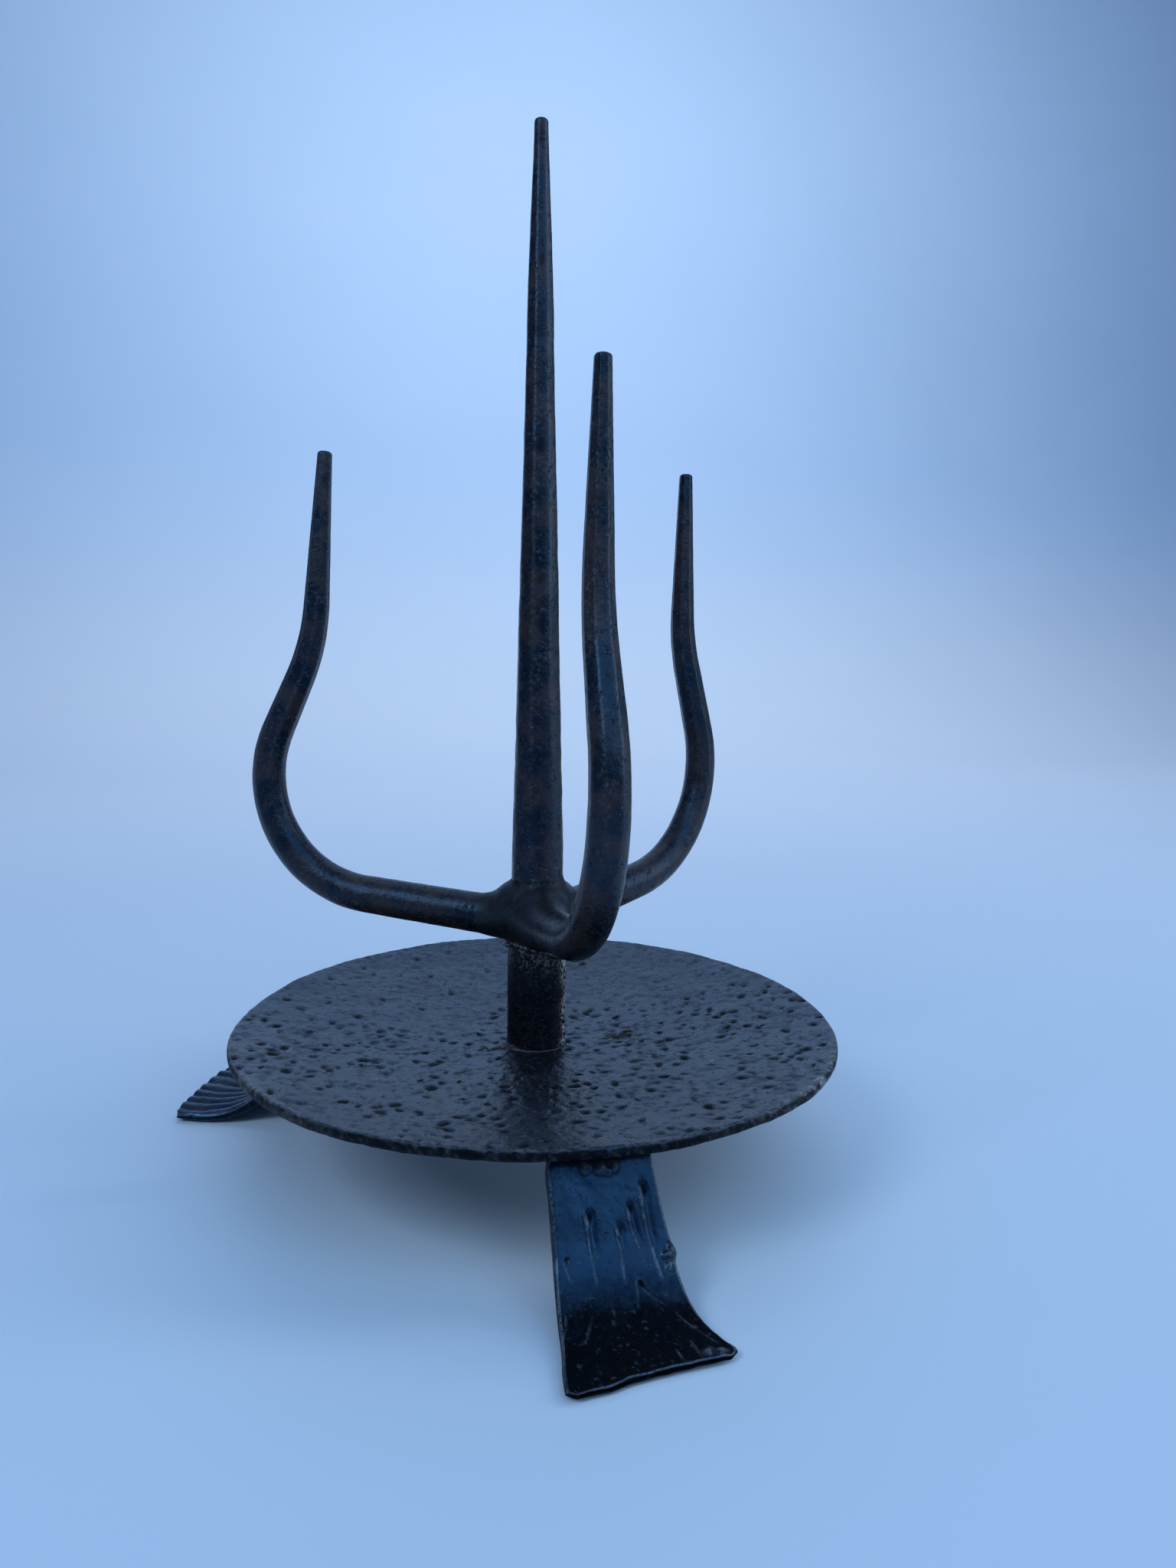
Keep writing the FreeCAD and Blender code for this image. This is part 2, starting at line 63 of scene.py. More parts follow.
# %% Find the axis and the heights
post_low, post_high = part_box("post")
plate_low, plate_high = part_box("drip_plate")
AXIS = np.array([(post_low.x + post_high.x) / 2, (post_low.y + post_high.y) / 2, 0])
PLATE_TOP = post_low.z
POST_TOP = post_high.z
SPIKE_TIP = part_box("spike")[1].z
PLATE_RADIUS = (plate_high.x - plate_low.x) / 2
print(f"axis at {AXIS.round(4)}, plate top {PLATE_TOP:.4f}, post top {POST_TOP:.4f}")


def outward(azimuth):
    """Unit vector away from the axis at this azimuth in degrees."""
    turn = math.radians(azimuth)
    return np.array([math.cos(turn), math.sin(turn), 0])


def sideways(azimuth):
    """Unit vector a quarter turn on from outward."""
    return outward(azimuth + 90)


def azimuth_of(points):
    """Azimuth of each point round the axis, in degrees from -180 to 180."""
    return np.degrees(np.arctan2(points[:, 1] - AXIS[1], points[:, 0] - AXIS[0]))


# %% [markdown]
# ## Writing node trees as sums
#
# Both materials and Geometry Nodes are built from many small sums. A wire that knows
# plus, minus and times lets those sums read like ordinary arithmetic, and one method
# adds every other kind of node.

# %% A wire and a bench
class Wire:
    """One value on its way through a node tree; arithmetic on it adds Math nodes."""

    def __init__(self, bench, socket):
        self.bench = bench
        self.socket = socket

    def maths(self, operation, *others):
        return self.bench.maths(operation, self, *others)

    def __rsub__(self, other):
        return self.bench.maths("SUBTRACT", other, self)

    def __rtruediv__(self, other):
        return self.bench.maths("DIVIDE", other, self)

    def step(self, low, high):
        """0 below low, 1 above high, and a smooth rise between them."""
        return self.bench.add("ShaderNodeMapRange", {"interpolation_type": "SMOOTHSTEP"},
                              {"Value": self, "From Min": low, "From Max": high})


def sum_method(operation):
    """A method that adds one Math node, with the wire it is called on first."""
    return lambda wire, *others: wire.maths(operation, *others)


for method, operation in {
        "__add__": "ADD", "__radd__": "ADD", "__sub__": "SUBTRACT", "__mul__": "MULTIPLY",
        "__rmul__": "MULTIPLY", "__truediv__": "DIVIDE", "__pow__": "POWER",
        "least": "MINIMUM", "most": "MAXIMUM", "size": "ABSOLUTE", "whole": "FLOOR",
        "rest": "FRACT", "sine": "SINE", "cosine": "COSINE"}.items():
    setattr(Wire, method, sum_method(operation))


class Bench:
    """A node tree that is being built."""

    def __init__(self, tree):
        self.tree = tree

    def add(self, kind, settings=None, values=None, output=0):
        """Make a node; settings go to the node itself and values to its inputs."""
        node = self.tree.nodes.new(kind)
        for name, setting in (settings or {}).items():
            setattr(node, name, setting)
        for name, value in (values or {}).items():
            if isinstance(value, Wire):
                self.tree.links.new(value.socket, node.inputs[name])
            else:
                node.inputs[name].default_value = value
        return Wire(self, node.outputs[output]) if node.outputs else node

    def shape(self, kind, output=0, **values):
        """A Geometry Node; an underscore in an input's name stands for a space."""
        return self.add("GeometryNode" + kind, None,
                        {name.replace("_", " "): value for name, value in values.items()},
                        output)

    def maths(self, operation, *values):
        return self.add("ShaderNodeMath", {"operation": operation}, dict(enumerate(values)))

    def vector(self, operation, *values):
        return self.add("ShaderNodeVectorMath", {"operation": operation},
                        dict(enumerate(values)))

    def stretch(self, vector, factor):
        """A vector times a number or wire."""
        return self.add("ShaderNodeVectorMath", {"operation": "SCALE"},
                        {"Vector": vector, "Scale": factor})

    def place(self, x=0.0, y=0.0, z=0.0):
        return self.add("ShaderNodeCombineXYZ", None, {"X": x, "Y": y, "Z": z})

    def apart(self, vector, output=0):
        """One number of a vector."""
        return self.add("ShaderNodeSeparateXYZ", None, {"Vector": vector}, output)

    def noise(self, vector, size, detail=2.0, roughness=0.5):
        """Soft noise from 0 to 1 with features about this size."""
        return self.add("ShaderNodeTexNoise", None,
                        {"Vector": vector, "Scale": 1 / size, "Detail": detail,
                         "Roughness": roughness})

    def blend(self, share, first, second):
        """Mix two colours."""
        return self.add("ShaderNodeMix", {"data_type": "RGBA"},
                        {0: share, 6: first, 7: second}, 2)


def new_finish(name):
    """A material with nothing in it yet but its output, and the bench to build it on."""
    material = bpy.data.materials.new(name)
    material.use_nodes = True
    nodes = material.node_tree.nodes
    nodes.remove(nodes["Principled BSDF"])
    return material, Bench(material.node_tree)


def end_finish(bench, shader):
    """Let this shader be what the material shows."""
    bench.tree.links.new(shader.socket, bench.tree.nodes["Material Output"].inputs["Surface"])


# %% [markdown]
# ## The skin of old iron
#
# The iron was blackened and has been handled for years. Up close it is not one black:
# it drifts between blue-black and brown-black, carries fine pits and crumbs with painted
# glints on some of them, is polished on its ridges and holds dull dirt in its dents. Some
# of the darkening is painted shade: in the plate's dents, round the plate's rim and under
# it, in the crease above the hub and on the legs' side walls. Some of the light on edges is
# painted highlight, and the blue of the legs and of every specular tint is painted sky
# reflection. One recipe makes all of these, and each kind of piece sets its own amounts.
# The shapes hand over named attributes for ridges, hollows and stains, so wear, dirt, rust
# and painted shade sit where the hammer, the weather and the light put them.
#
# Two layers make the skin. Clean iron mirrors the room, and dull fire scale hardly does.
# A speckled mask says where the scale still sits: in hollows and where shade is painted,
# and never where the iron is rubbed bright. Two shaders under one mask give that edge a
# grain, as flaking scale has.

# %% The iron recipe
SCALE_SHINE = 0.1
SOOT_AND_SHADE = (0.0022, 0.0022, 0.0026, 1)
GLINT = (0.30, 0.31, 0.33, 1)


def iron(name, *, cool, crumb, relief, roughness, tint, flecks, wear, glints, shine,
         warm=(0.0115, 0.0075, 0.0058, 1), mottle=14 * MM, fleck=(0.055, 0.045, 0.038, 1),
         worn=(0.075, 0.07, 0.068, 1), dirt_and_shade_amount=0.6, rust=0.0,
         rust_tone=(0.06, 0.024, 0.011, 1), dull=0.1, scale=0.0, chips=(0.30, 0.62)):
    """A dark iron finish; the amounts say how worn, dirty, rusty and scaled it is,
    and how much painted shade and glint it has.
    """
    material, bench = new_finish(name)
    spot = bench.add("ShaderNodeTexCoord", output="Object")
    ridge, hollow, stain = (bench.add("ShaderNodeAttribute", {"attribute_name": label},
                                      output="Fac") for label in ("ridge", "hollow", "stain"))
    drift = bench.noise(spot, mottle, 3.0, 0.6)
    patch = bench.noise(spot, mottle / 2.3, 2.0)
    grain = bench.noise(spot, crumb, 4.0, 0.65)
    pits = bench.noise(spot, crumb * 2.1, 2.0, 0.7).step(0.60, 0.72)
    painted_glint_spots = bench.noise(spot, crumb / 2, 1.0).step(0.72, 0.78) * patch.step(0.48, 0.6)

    colour = bench.blend(drift.step(0.38, 0.64), cool, warm)
    colour = bench.blend(grain.step(0.54, 0.64) * patch.step(0.35, 0.6) * flecks, colour, fleck)
    # Dirt in dents and pits, and painted shade where the shapes mark it, darken the colour here.
    colour = bench.blend((hollow + pits * 0.7).least(1.0) * dirt_and_shade_amount, colour, SOOT_AND_SHADE)
    rubbed = (ridge * grain.step(*chips) * wear).least(1.0)
    colour = bench.blend(rubbed, colour, worn)
    rusty = (drift.step(0.55, 0.7) * grain.step(0.45, 0.6) * rust
             + stain * grain.step(0.3, 0.55)).least(1.0) * (1.0 - rubbed * 0.8)
    colour = bench.blend(rusty, colour, rust_tone)
    # Painted glints: small light spots laid into the colour, standing in for light caught by
    # crumbs.
    colour = bench.blend(painted_glint_spots * glints, colour, GLINT)

    skin = (roughness + (drift - 0.5) * 0.3 + (grain - 0.5) * 0.25 + pits * 0.15
            + hollow * dull - rubbed * 0.08 + rusty * 0.3).most(0.12).least(0.9)
    bump = bench.add("ShaderNodeBump", None, {"Strength": 1.0, "Distance": relief,
                                              "Height": grain * 0.7 + patch * 0.6 - pits * 0.8})
    cover = hollow + scale + (grain - 0.5) * 1.5 + (patch - 0.5) * 1.1
    cover = cover.step(0.35, 0.85) * (1.0 - rubbed) * (1.0 - rusty * 0.5)
    # Both layers take a blue Specular Tint: a painted reflection colour that stands in for blue
    # sky mirrored in the iron.
    clean, scaly = (
        bench.add("ShaderNodeBsdfPrincipled", None,
                  {"Base Color": colour, "Roughness": skin, "Normal": bump,
                   "Specular Tint": tint, "Specular IOR Level": level})
        for level in (shine, SCALE_SHINE))
    end_finish(bench, bench.add("ShaderNodeMixShader", None, {0: cover, 1: clean, 2: scaly}))
    return material


bar_iron = iron("blackened_bar_iron", cool=(0.0025, 0.0035, 0.006, 1),
                warm=(0.026, 0.015, 0.011, 1), crumb=1.5 * MM, relief=0.36 * MM,
                roughness=0.29, tint=(0.30, 0.60, 1, 1), fleck=(0.065, 0.056, 0.05, 1),
                flecks=0.6, wear=0.55, dull=0.3, glints=0.15, shine=0.44, scale=0.26)
post_iron = iron("scaled_post_iron", cool=(0.001, 0.0016, 0.004, 1),
                 warm=(0.003, 0.0025, 0.0035, 1), crumb=1.2 * MM, relief=0.3 * MM,
                 roughness=0.40, tint=(0.5, 0.7, 1, 1), flecks=0.12,
                 worn=(0.50, 0.47, 0.45, 1), wear=1.0, glints=0.15, shine=0.38, scale=0.72,
                 chips=(0.48, 0.57))
plate_iron = iron("hammered_plate_iron", cool=(0.003, 0.0048, 0.0085, 1),
                  warm=(0.005, 0.0055, 0.0075, 1), mottle=22 * MM, crumb=1.7 * MM,
                  relief=0.6 * MM, roughness=0.22, tint=(0.42, 0.66, 1, 1), flecks=0.1,
                  worn=(0.33, 0.32, 0.29, 1), wear=0.8, dirt_and_shade_amount=0.9, rust=0.04,
                  rust_tone=(0.06, 0.044, 0.026, 1), glints=0.1, shine=0.74, dull=0.35)
# The leg's blue base colour and blue flecks are painted reflection: they stand in for blue sky
# mirrored on its slopes.
leg_iron = iron("flat_leg_iron", cool=(0.002, 0.0055, 0.0125, 1),
                warm=(0.0025, 0.004, 0.0075, 1), mottle=18 * MM, crumb=1.0 * MM,
                relief=0.06 * MM, roughness=0.30, tint=(0.2, 0.53, 1, 1),
                fleck=(0.015, 0.03, 0.055, 1), flecks=0.35, worn=(0.13, 0.15, 0.17, 1),
                wear=0.8, dirt_and_shade_amount=0.95, rust=0.03, rust_tone=(0.045, 0.03, 0.018, 1),
                glints=0.45, dull=0.25, shine=0.6)
weld_iron = iron("weld_iron", cool=(0.003, 0.004, 0.007, 1), mottle=8 * MM,
                 crumb=1.0 * MM, relief=0.14 * MM, roughness=0.42, tint=(0.6, 0.8, 1, 1),
                 flecks=0.15, worn=(0.2, 0.19, 0.185, 1), wear=0.7, rust=0.04,
                 glints=0.15, shine=0.42, scale=-0.2)
print("finishes:", [material.name for material in bpy.data.materials])

# %% [markdown]
# ## Handing a piece over
#
# Each finished piece is a plain mesh at the origin with its place in its points. It rides
# on the stand's one rigid body and stands for its solid.

# %% Piece helpers
def link(thing):
    """Put an object into the scene."""
    bpy.context.scene.collection.objects.link(thing)
    return thing


def hand_over(piece, node):
    """Let a finished piece ride on the stand and stand for its solid."""
    turn_outward(piece.data)
    link(piece)
    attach(piece, "root")
    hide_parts(node)
    low, high = (Vector(corner) for corner in (piece.bound_box[0], piece.bound_box[6]))
    print(f"{piece.name}: {len(piece.data.vertices)} points,"
          f" z {low.z / MM:.1f} to {high.z / MM:.1f} mm")


def evaluated(draft, name):
    """The draft's result, modifiers and all, as a plain mesh object."""
    bpy.context.view_layer.update()
    graph = bpy.context.evaluated_depsgraph_get()
    mesh = bpy.data.meshes.new_from_object(draft.evaluated_get(graph))
    mesh.name = name
    bpy.data.objects.remove(draft)
    return bpy.data.objects.new(name, mesh)


def run_tree(draft, tree, name, **sizes):
    """Run a Geometry Nodes tree over a draft; blow_depth sets its input Blow Depth."""
    modifier = draft.modifiers.new(tree.name, "NODES")
    modifier.node_group = tree
    for item in tree.interface.items_tree:
        label = item.name.lower().replace(" ", "_")
        if item.in_out == "INPUT" and label in sizes:
            modifier[item.identifier] = sizes.pop(label)
    assert not sizes, f"{tree.name} has no input named {sorted(sizes)}"
    return evaluated(draft, name)


def new_tree(name, inputs):
    """A Geometry Nodes tree with named inputs; returns its bench and its input wires."""
    tree = bpy.data.node_groups.new(name, "GeometryNodeTree")
    tree.interface.new_socket("Geometry", in_out="OUTPUT", socket_type="NodeSocketGeometry")
    tree.interface.new_socket("Geometry", in_out="INPUT", socket_type="NodeSocketGeometry")
    for label, kind in inputs.items():
        tree.interface.new_socket(label, in_out="INPUT", socket_type="NodeSocket" + kind)
    bench = Bench(tree)
    entry = bench.add("NodeGroupInput")
    return bench, {socket.name: Wire(bench, socket)
                   for socket in entry.socket.node.outputs if socket.name}


def end_tree(bench, geometry, material):
    """Close a tree: smooth faces, real geometry, one material."""
    geometry = bench.shape("SetShadeSmooth", Geometry=geometry)
    geometry = bench.shape("RealizeInstances", Geometry=geometry)
    geometry = bench.shape("SetMaterial", Geometry=geometry, Material=material)
    bench.add("NodeGroupOutput", None, {"Geometry": geometry})
    return bench.tree


def store(bench, geometry, **values):
    """Keep each value on the geometry under its own name."""
    for label, value in values.items():
        kind = "FLOAT_VECTOR" if value.socket.type == "VECTOR" else "FLOAT"
        geometry = bench.add("GeometryNodeStoreNamedAttribute",
                             {"data_type": kind, "domain": "POINT"},
                             {"Geometry": geometry, "Name": label, "Value": value})
    return geometry


def recall(bench, label, kind="FLOAT"):
    """Read back a value kept under a name."""
    return bench.add("GeometryNodeInputNamedAttribute", {"data_type": kind}, {"Name": label})


def shift(bench, geometry, offset):
    """Move the points of the geometry."""
    return bench.shape("SetPosition", Geometry=geometry, Offset=offset)


def unit_ring(bench, columns):
    """A circle of radius 1."""
    return bench.add("GeometryNodeCurvePrimitiveCircle", {"mode": "RADIUS"},
                     {"Resolution": columns, "Radius": 1.0})


def sweep(bench, line, ring):
    """Sweep a ring along a line; the skin keeps its length, radius and middle there."""
    radius = bench.shape("InputRadius")
    line = store(bench, line, along=bench.shape("SplineParameter", "Length"),
                 half_width=radius, middle=bench.shape("InputPosition"))
    return bench.shape("CurveToMesh", Curve=line, Profile_Curve=ring, Scale=radius,
                       Fill_Caps=True)


def push_out(bench, skin, share):
    """Push a swept skin away from its line, by a share of its radius there."""
    place = bench.shape("InputPosition")
    away = bench.vector("SUBTRACT", place, recall(bench, "middle", "FLOAT_VECTOR"))
    return shift(bench, skin, bench.stretch(bench.vector("NORMALIZE", away),
                                            share * recall(bench, "half_width")))


# %% [markdown]
# ## Shapes in plain numbers
#
# Some shapes follow a rule that is easier to write over whole tables of points at once:
# the flat legs, the lemon-shaped weld, the paths of the bars. Smooth random lumps come
# from a small table of numbers, read between its entries.

# %% Point helpers
LUMP_CELLS = 32


def lumps(points, size, seed):
    """Smooth noise from -1 to 1 at these points, with lumps about this size."""
    table = np.random.default_rng(seed).uniform(-1, 1, (LUMP_CELLS,) * 3)
    spots = np.asarray(points) / size
    cell = np.floor(spots).astype(int)
    part = spots - cell
    part = part * part * (3 - 2 * part)
    total = np.zeros(len(spots))
    for corner in np.ndindex(2, 2, 2):
        share = np.prod(np.where(corner, part, 1 - part), axis=1)
        total += share * table[tuple(((cell + corner) % LUMP_CELLS).T)]
    return total


def smooth_step(value, low, high):
    """0 below low, 1 above high, and a smooth rise between them."""
    share = np.clip((value - low) / (high - low), 0, 1)
    return share * share * (3 - 2 * share)


def bell(value, middle, width):
    """1 at the middle, and a smooth fall to nothing on both sides."""
    return np.exp(-((value - middle) / width) ** 2)


def walk(start, slope, steps, spacing=0.5 * MM):
    """Follow straights and bends in a vertical plane; a step is (length, turn)."""
    spot = np.array(start, float)
    heading = math.radians(slope)
    points = [spot.copy()]
    for length, turn in steps:
        count = max(1, round(length / spacing))
        bend = math.radians(turn) / count
        for _ in range(count):
            heading += bend / 2
            spot += length / count * np.array([math.cos(heading), math.sin(heading)])
            heading += bend / 2
            points.append(spot.copy())
    return np.array(points)


def travelled(points):
    """Distance along a line of points."""
    return np.concatenate([[0], np.cumsum(np.linalg.norm(np.diff(points, axis=0), axis=1))])


def read_off(stops, lengths, table):
    """The rows of a table at these stops, where lengths say how far along each row is."""
    return np.column_stack([np.interp(stops, lengths, column) for column in table.T])


def headings(line):
    """Unit vector along a line at each of its points."""
    ahead = np.gradient(line, axis=0)
    return ahead / np.linalg.norm(ahead, axis=1)[:, None]


def skin_faces(rows, columns):
    """Faces round a closed skin of rows of points, with a cap at each end last."""
    column = np.arange(columns)
    start = np.arange(rows - 1)[:, None] * columns
    near, far = (start + column).ravel(), (start + (column + 1) % columns).ravel()
    faces = np.column_stack([near, far, far + columns, near + columns]).tolist()
    return faces + [column[::-1].tolist(), (column + (rows - 1) * columns).tolist()]


def joined(parts):
    """The points and faces of several parts, as one list each."""
    points, faces = [], []
    for part_points, part_faces in parts:
        faces += [[corner + len(points) for corner in face] for face in part_faces]
        points += part_points.tolist()
    return points, faces


def points_of(mesh):
    """The places of a mesh's points, one row for each."""
    flat = np.empty(len(mesh.vertices) * 3)
    mesh.vertices.foreach_get("co", flat)
    return flat.reshape(-1, 3)


def mesh_piece(name, points, faces, material, **marks):
    """A smooth mesh object from points and faces, with named marks on its points."""
    mesh = bpy.data.meshes.new(name)
    mesh.from_pydata(np.asarray(points).tolist(), [], faces)
    mesh.shade_smooth()
    mesh.materials.append(material)
    for label, amounts in marks.items():
        mark_points(mesh, label, amounts)
    return bpy.data.objects.new(name, mesh)


def mark_points(mesh, label, amounts):
    """Keep an amount from 0 to 1 for each point under a name."""
    mark = mesh.attributes.get(label) or mesh.attributes.new(label, "FLOAT", "POINT")
    mark.data.foreach_set("value", np.clip(amounts, 0, 1).astype(np.float32))


def marks_of(mesh, label):
    """The amounts kept under a name, one for each point."""
    amounts = np.empty(len(mesh.vertices), np.float32)
    mesh.attributes[label].data.foreach_get("value", amounts)
    return amounts


def turn_outward(mesh):
    """Make faces look outward: a closed mesh that looks inward has a negative volume."""
    mesh.calc_loop_triangles()
    corners = np.empty(len(mesh.loop_triangles) * 3, int)
    mesh.loop_triangles.foreach_get("vertices", corners)
    first, second, third = points_of(mesh)[corners.reshape(-1, 3)].transpose(1, 0, 2)
    if np.einsum("ij,ij->", first, np.cross(second, third)) < 0:
        mesh.flip_normals()


def curve_draft(name, points, radii, closed=False):
    """A straight-sided curve through these points, with a radius at each."""
    data = bpy.data.curves.new(name, "CURVE")
    data.dimensions = "3D"
    spline = data.splines.new("POLY")
    spline.points.add(len(points) - 1)
    places = np.column_stack([points, np.ones(len(points))])
    spline.points.foreach_set("co", places.ravel())
    spline.points.foreach_set("radius", np.asarray(radii, float))
    spline.use_cyclic_u = closed
    return link(bpy.data.objects.new(name, data))


# %% [markdown]
# ## Bars drawn out under the hammer
#
# The spike, the post and the arms are all one kind of thing: a bar that follows a path
# and gets thinner. A smith draws a round bar out by making it square, then eight-sided,
# and then knocks the corners off, so flats run down its length and each blow leaves its
# flat a little higher or lower. A sweep could be modelled by hand for each bar. One
# Geometry Nodes tree makes them all instead: it sweeps a ring of points along the path
# and then pushes each point in or out by the flat it lies on.

# %% The forged bar tree
bench, wire = new_tree("Forged bar", {
    "Points Round": "Int", "Flats": "Float", "Turn": "Float", "Flat Depth": "Float",
    "Flats From": "Float", "Flats To": "Float", "Blow Length": "Float",
    "Blow Depth": "Float", "Lump Size": "Float", "Lump Depth": "Float", "Seed": "Float",
    "Material": "Material"})
ring = store(bench, unit_ring(bench, wire["Points Round"]),
             around=bench.shape("SplineParameter"))
bar = sweep(bench, wire["Geometry"], ring)

around = recall(bench, "around") * wire["Flats"] + wire["Turn"]
along = recall(bench, "along")
flat = around.whole().maths("FLOORED_MODULO", wire["Flats"])
across = (around.rest() - 0.5) * 2
corner = across * across
grown = along.step(wire["Flats From"], wire["Flats To"])
flat_shape = (corner.maths("SMOOTH_MIN", 0.72, 0.2) - 0.33) * wire["Flat Depth"] * grown
blow_spot = bench.place(flat * 5.3 + wire["Seed"], along / wire["Blow Length"], wire["Seed"])
blow = (bench.noise(blow_spot, 1.0, 1.0) - 0.5) * wire["Blow Depth"] * (1.0 - corner) * grown
lump_spot = bench.vector("ADD", bench.shape("InputPosition"), bench.place(wire["Seed"]))
lump = bench.noise(bench.stretch(lump_spot, 1 / wire["Lump Size"]), 1.0, 2.0)
lump = (lump - 0.5) * wire["Lump Depth"]
bar = push_out(bench, bar, flat_shape + blow + lump)
# The corners are painted lighter as ridge: partly wear, partly a painted highlight standing in
# for thin reflections along the bar's edges.
bar = store(bench, bar, ridge=corner ** 2 * grown * 0.6,
            hollow=(0.0 - blow * 40).step(0.0, 1.0) * 0.5)
forged_bar = end_tree(bench, bar, wire["Material"])
print("forged bar tree:", len(forged_bar.nodes), "nodes")

# %% [markdown]
# ## Spike, post and arms
#
# Each bar's line and widths were read off the photograph. The spike leans a hair to
# one side and its taper is fuller than a straight cone. The tips are blunt, with their
# edges knocked round, as a smith leaves them so that they push into a candle without
# splitting it. The post keeps light flakes of scale round its top and down one side; down
# that side, which takes the light, they are partly painted glints.

# %% Make the bars
USUAL_BAR = {"points_round": 64, "flats": 8.0, "turn": 0.0, "flat_depth": 0.07,
             "flats_from": 0.0, "flats_to": 0.05, "blow_length": 9 * MM, "blow_depth": 0.05,
             "lump_size": 9 * MM, "lump_depth": 0.05, "seed": 1.0, "material": bar_iron}
TIP_FULLNESS = 0.55
TIP_END = 0.02


def drawn_bar(name, node, points, stations, widths, tip, **sizes):
    """Sweep the forged bar tree along a line; stations and widths give its taper."""
    lengths = travelled(points)
    whole = lengths[-1]
    turn = np.linspace(0, math.pi / 2, 9)
    spots = np.concatenate([np.arange(0, whole - tip, MM), whole - tip + tip * np.sin(turn)])
    radii = np.interp(spots, stations, widths) / 2
    rounding = np.maximum(np.cos(turn), 0.0) ** TIP_FULLNESS
    radii[-len(turn):] *= rounding * (1 - TIP_END) + TIP_END
    draft = curve_draft(name + "_line", read_off(spots, lengths, points), radii)
    piece = run_tree(draft, forged_bar, name, **{**USUAL_BAR, **sizes})
    hand_over(piece, node)
    return piece


SPIKE_HEIGHTS = np.array([0, 35, 146, 194, 230, 242, 254, 266, 278, 290, 302, 314, 322,
                          326.5]) * MM
SPIKE_WIDTHS = np.array([22, 21.4, 16, 13.4, 11.6, 11, 10.8, 10, 9.1, 8.16, 7.14, 6.2,
                         5.7, 5.4]) * MM
SPIKE_LEAN = 1.2 * MM
rise = np.linspace(0, 1, 60)
spike_line = AXIS + np.column_stack([-SPIKE_LEAN * rise, 0.25 * SPIKE_LEAN * rise,
                                     POST_TOP + (SPIKE_TIP - POST_TOP) * rise])
drawn_bar("spike_bar", "spike", spike_line, SPIKE_HEIGHTS, SPIKE_WIDTHS, 1.6 * MM,
          turn=0.35, flat_depth=0.06, flats_to=0.16, blow_length=14 * MM, blow_depth=0.08,
          lump_size=10 * MM, lump_depth=0.09, seed=3.0)

POST_WIDTH = 24.7 * MM
post_line = AXIS + np.array([PLATE_TOP - 1 * MM, POST_TOP])[:, None] * UP
post = drawn_bar("post_bar", "post", post_line, [0, 1], [POST_WIDTH, POST_WIDTH], 1 * MM,
                 flat_depth=0.0, points_round=96, flats_from=1.0, flats_to=2.0,
                 lump_depth=0.04, lump_size=8 * MM, blow_depth=0.0, seed=8.0,
                 material=post_iron)
# Light flakes are set down the side that takes the light: partly scale, partly painted glints.
FLAKED_LIT_SIDE = -24
spots = points_of(post.data)
flakes_and_glints = 2.2 * bell(azimuth_of(spots), FLAKED_LIT_SIDE, 16) \
    + 0.2 * bell(spots[:, 2], POST_TOP, 9 * MM)
mark_points(post.data, "ridge",
            (flakes_and_glints + 0.02) * smooth_step(lumps(spots, 3.5 * MM, 27), -1.2, 0.3))

ARM_START = (8 * MM, 100 * MM)
ARM_WIDTHS = np.array([17.2, 16, 13.2, 11.9, 10.3, 5.7]) * MM
ARMS = {
    "front": {"azimuth": 269.5, "rise": 7.8, "lean": 20.9, "tip_lean": -1.7,
              "lengths": (50.6, 107.246, 24.3, 33.488, 63.1), "seed": 11.0},
    "left": {"azimuth": 153.7, "rise": 5.8, "lean": 25.2, "tip_lean": 4.2,
             "lengths": (68.9, 94.515, 24.0, 33.5, 63.1), "seed": 17.0},
    "right": {"azimuth": 30.7, "rise": 9.3, "lean": 18.0, "tip_lean": -0.2,
              "lengths": (55.3, 90.783, 29.9, 26.873, 62.6), "seed": 23.0},
}
arm_lines = {}
for arm_name, arm in ARMS.items():
    turns = (0, 90 + arm["lean"] - arm["rise"], 0, arm["tip_lean"] - arm["lean"], 0)
    lengths = np.array(arm["lengths"]) * MM
    flat_line = walk(ARM_START, arm["rise"], list(zip(lengths, turns)))
    arm_lines[arm_name] = AXIS + flat_line[:, :1] * outward(arm["azimuth"]) \
        + flat_line[:, 1:] * UP
    ends = np.concatenate([[0], np.cumsum(lengths)])
    drawn_bar(f"arm_{arm_name}_bar", f"arm_{arm_name}", arm_lines[arm_name], ends, ARM_WIDTHS,
              1.5 * MM, seed=arm["seed"], turn=arm["seed"] / 7, flat_depth=0.09,
              flats_from=ends[1], flats_to=ends[4], blow_length=12 * MM, blow_depth=0.07)

# %% [markdown]
# ## The hammered drip plate
#
# The plate was beaten into a shallow dish over a hollow in a stump, and the
# hammer's round face left hundreds of small dents. The section is one line, turned round
# the axis. The blows are points scattered no closer than a hammer face, and every
# point of the plate looks up its nearest blow: how far it is, which way the hammer was
# turned and how hard it struck. Towards the back the blows are softer.

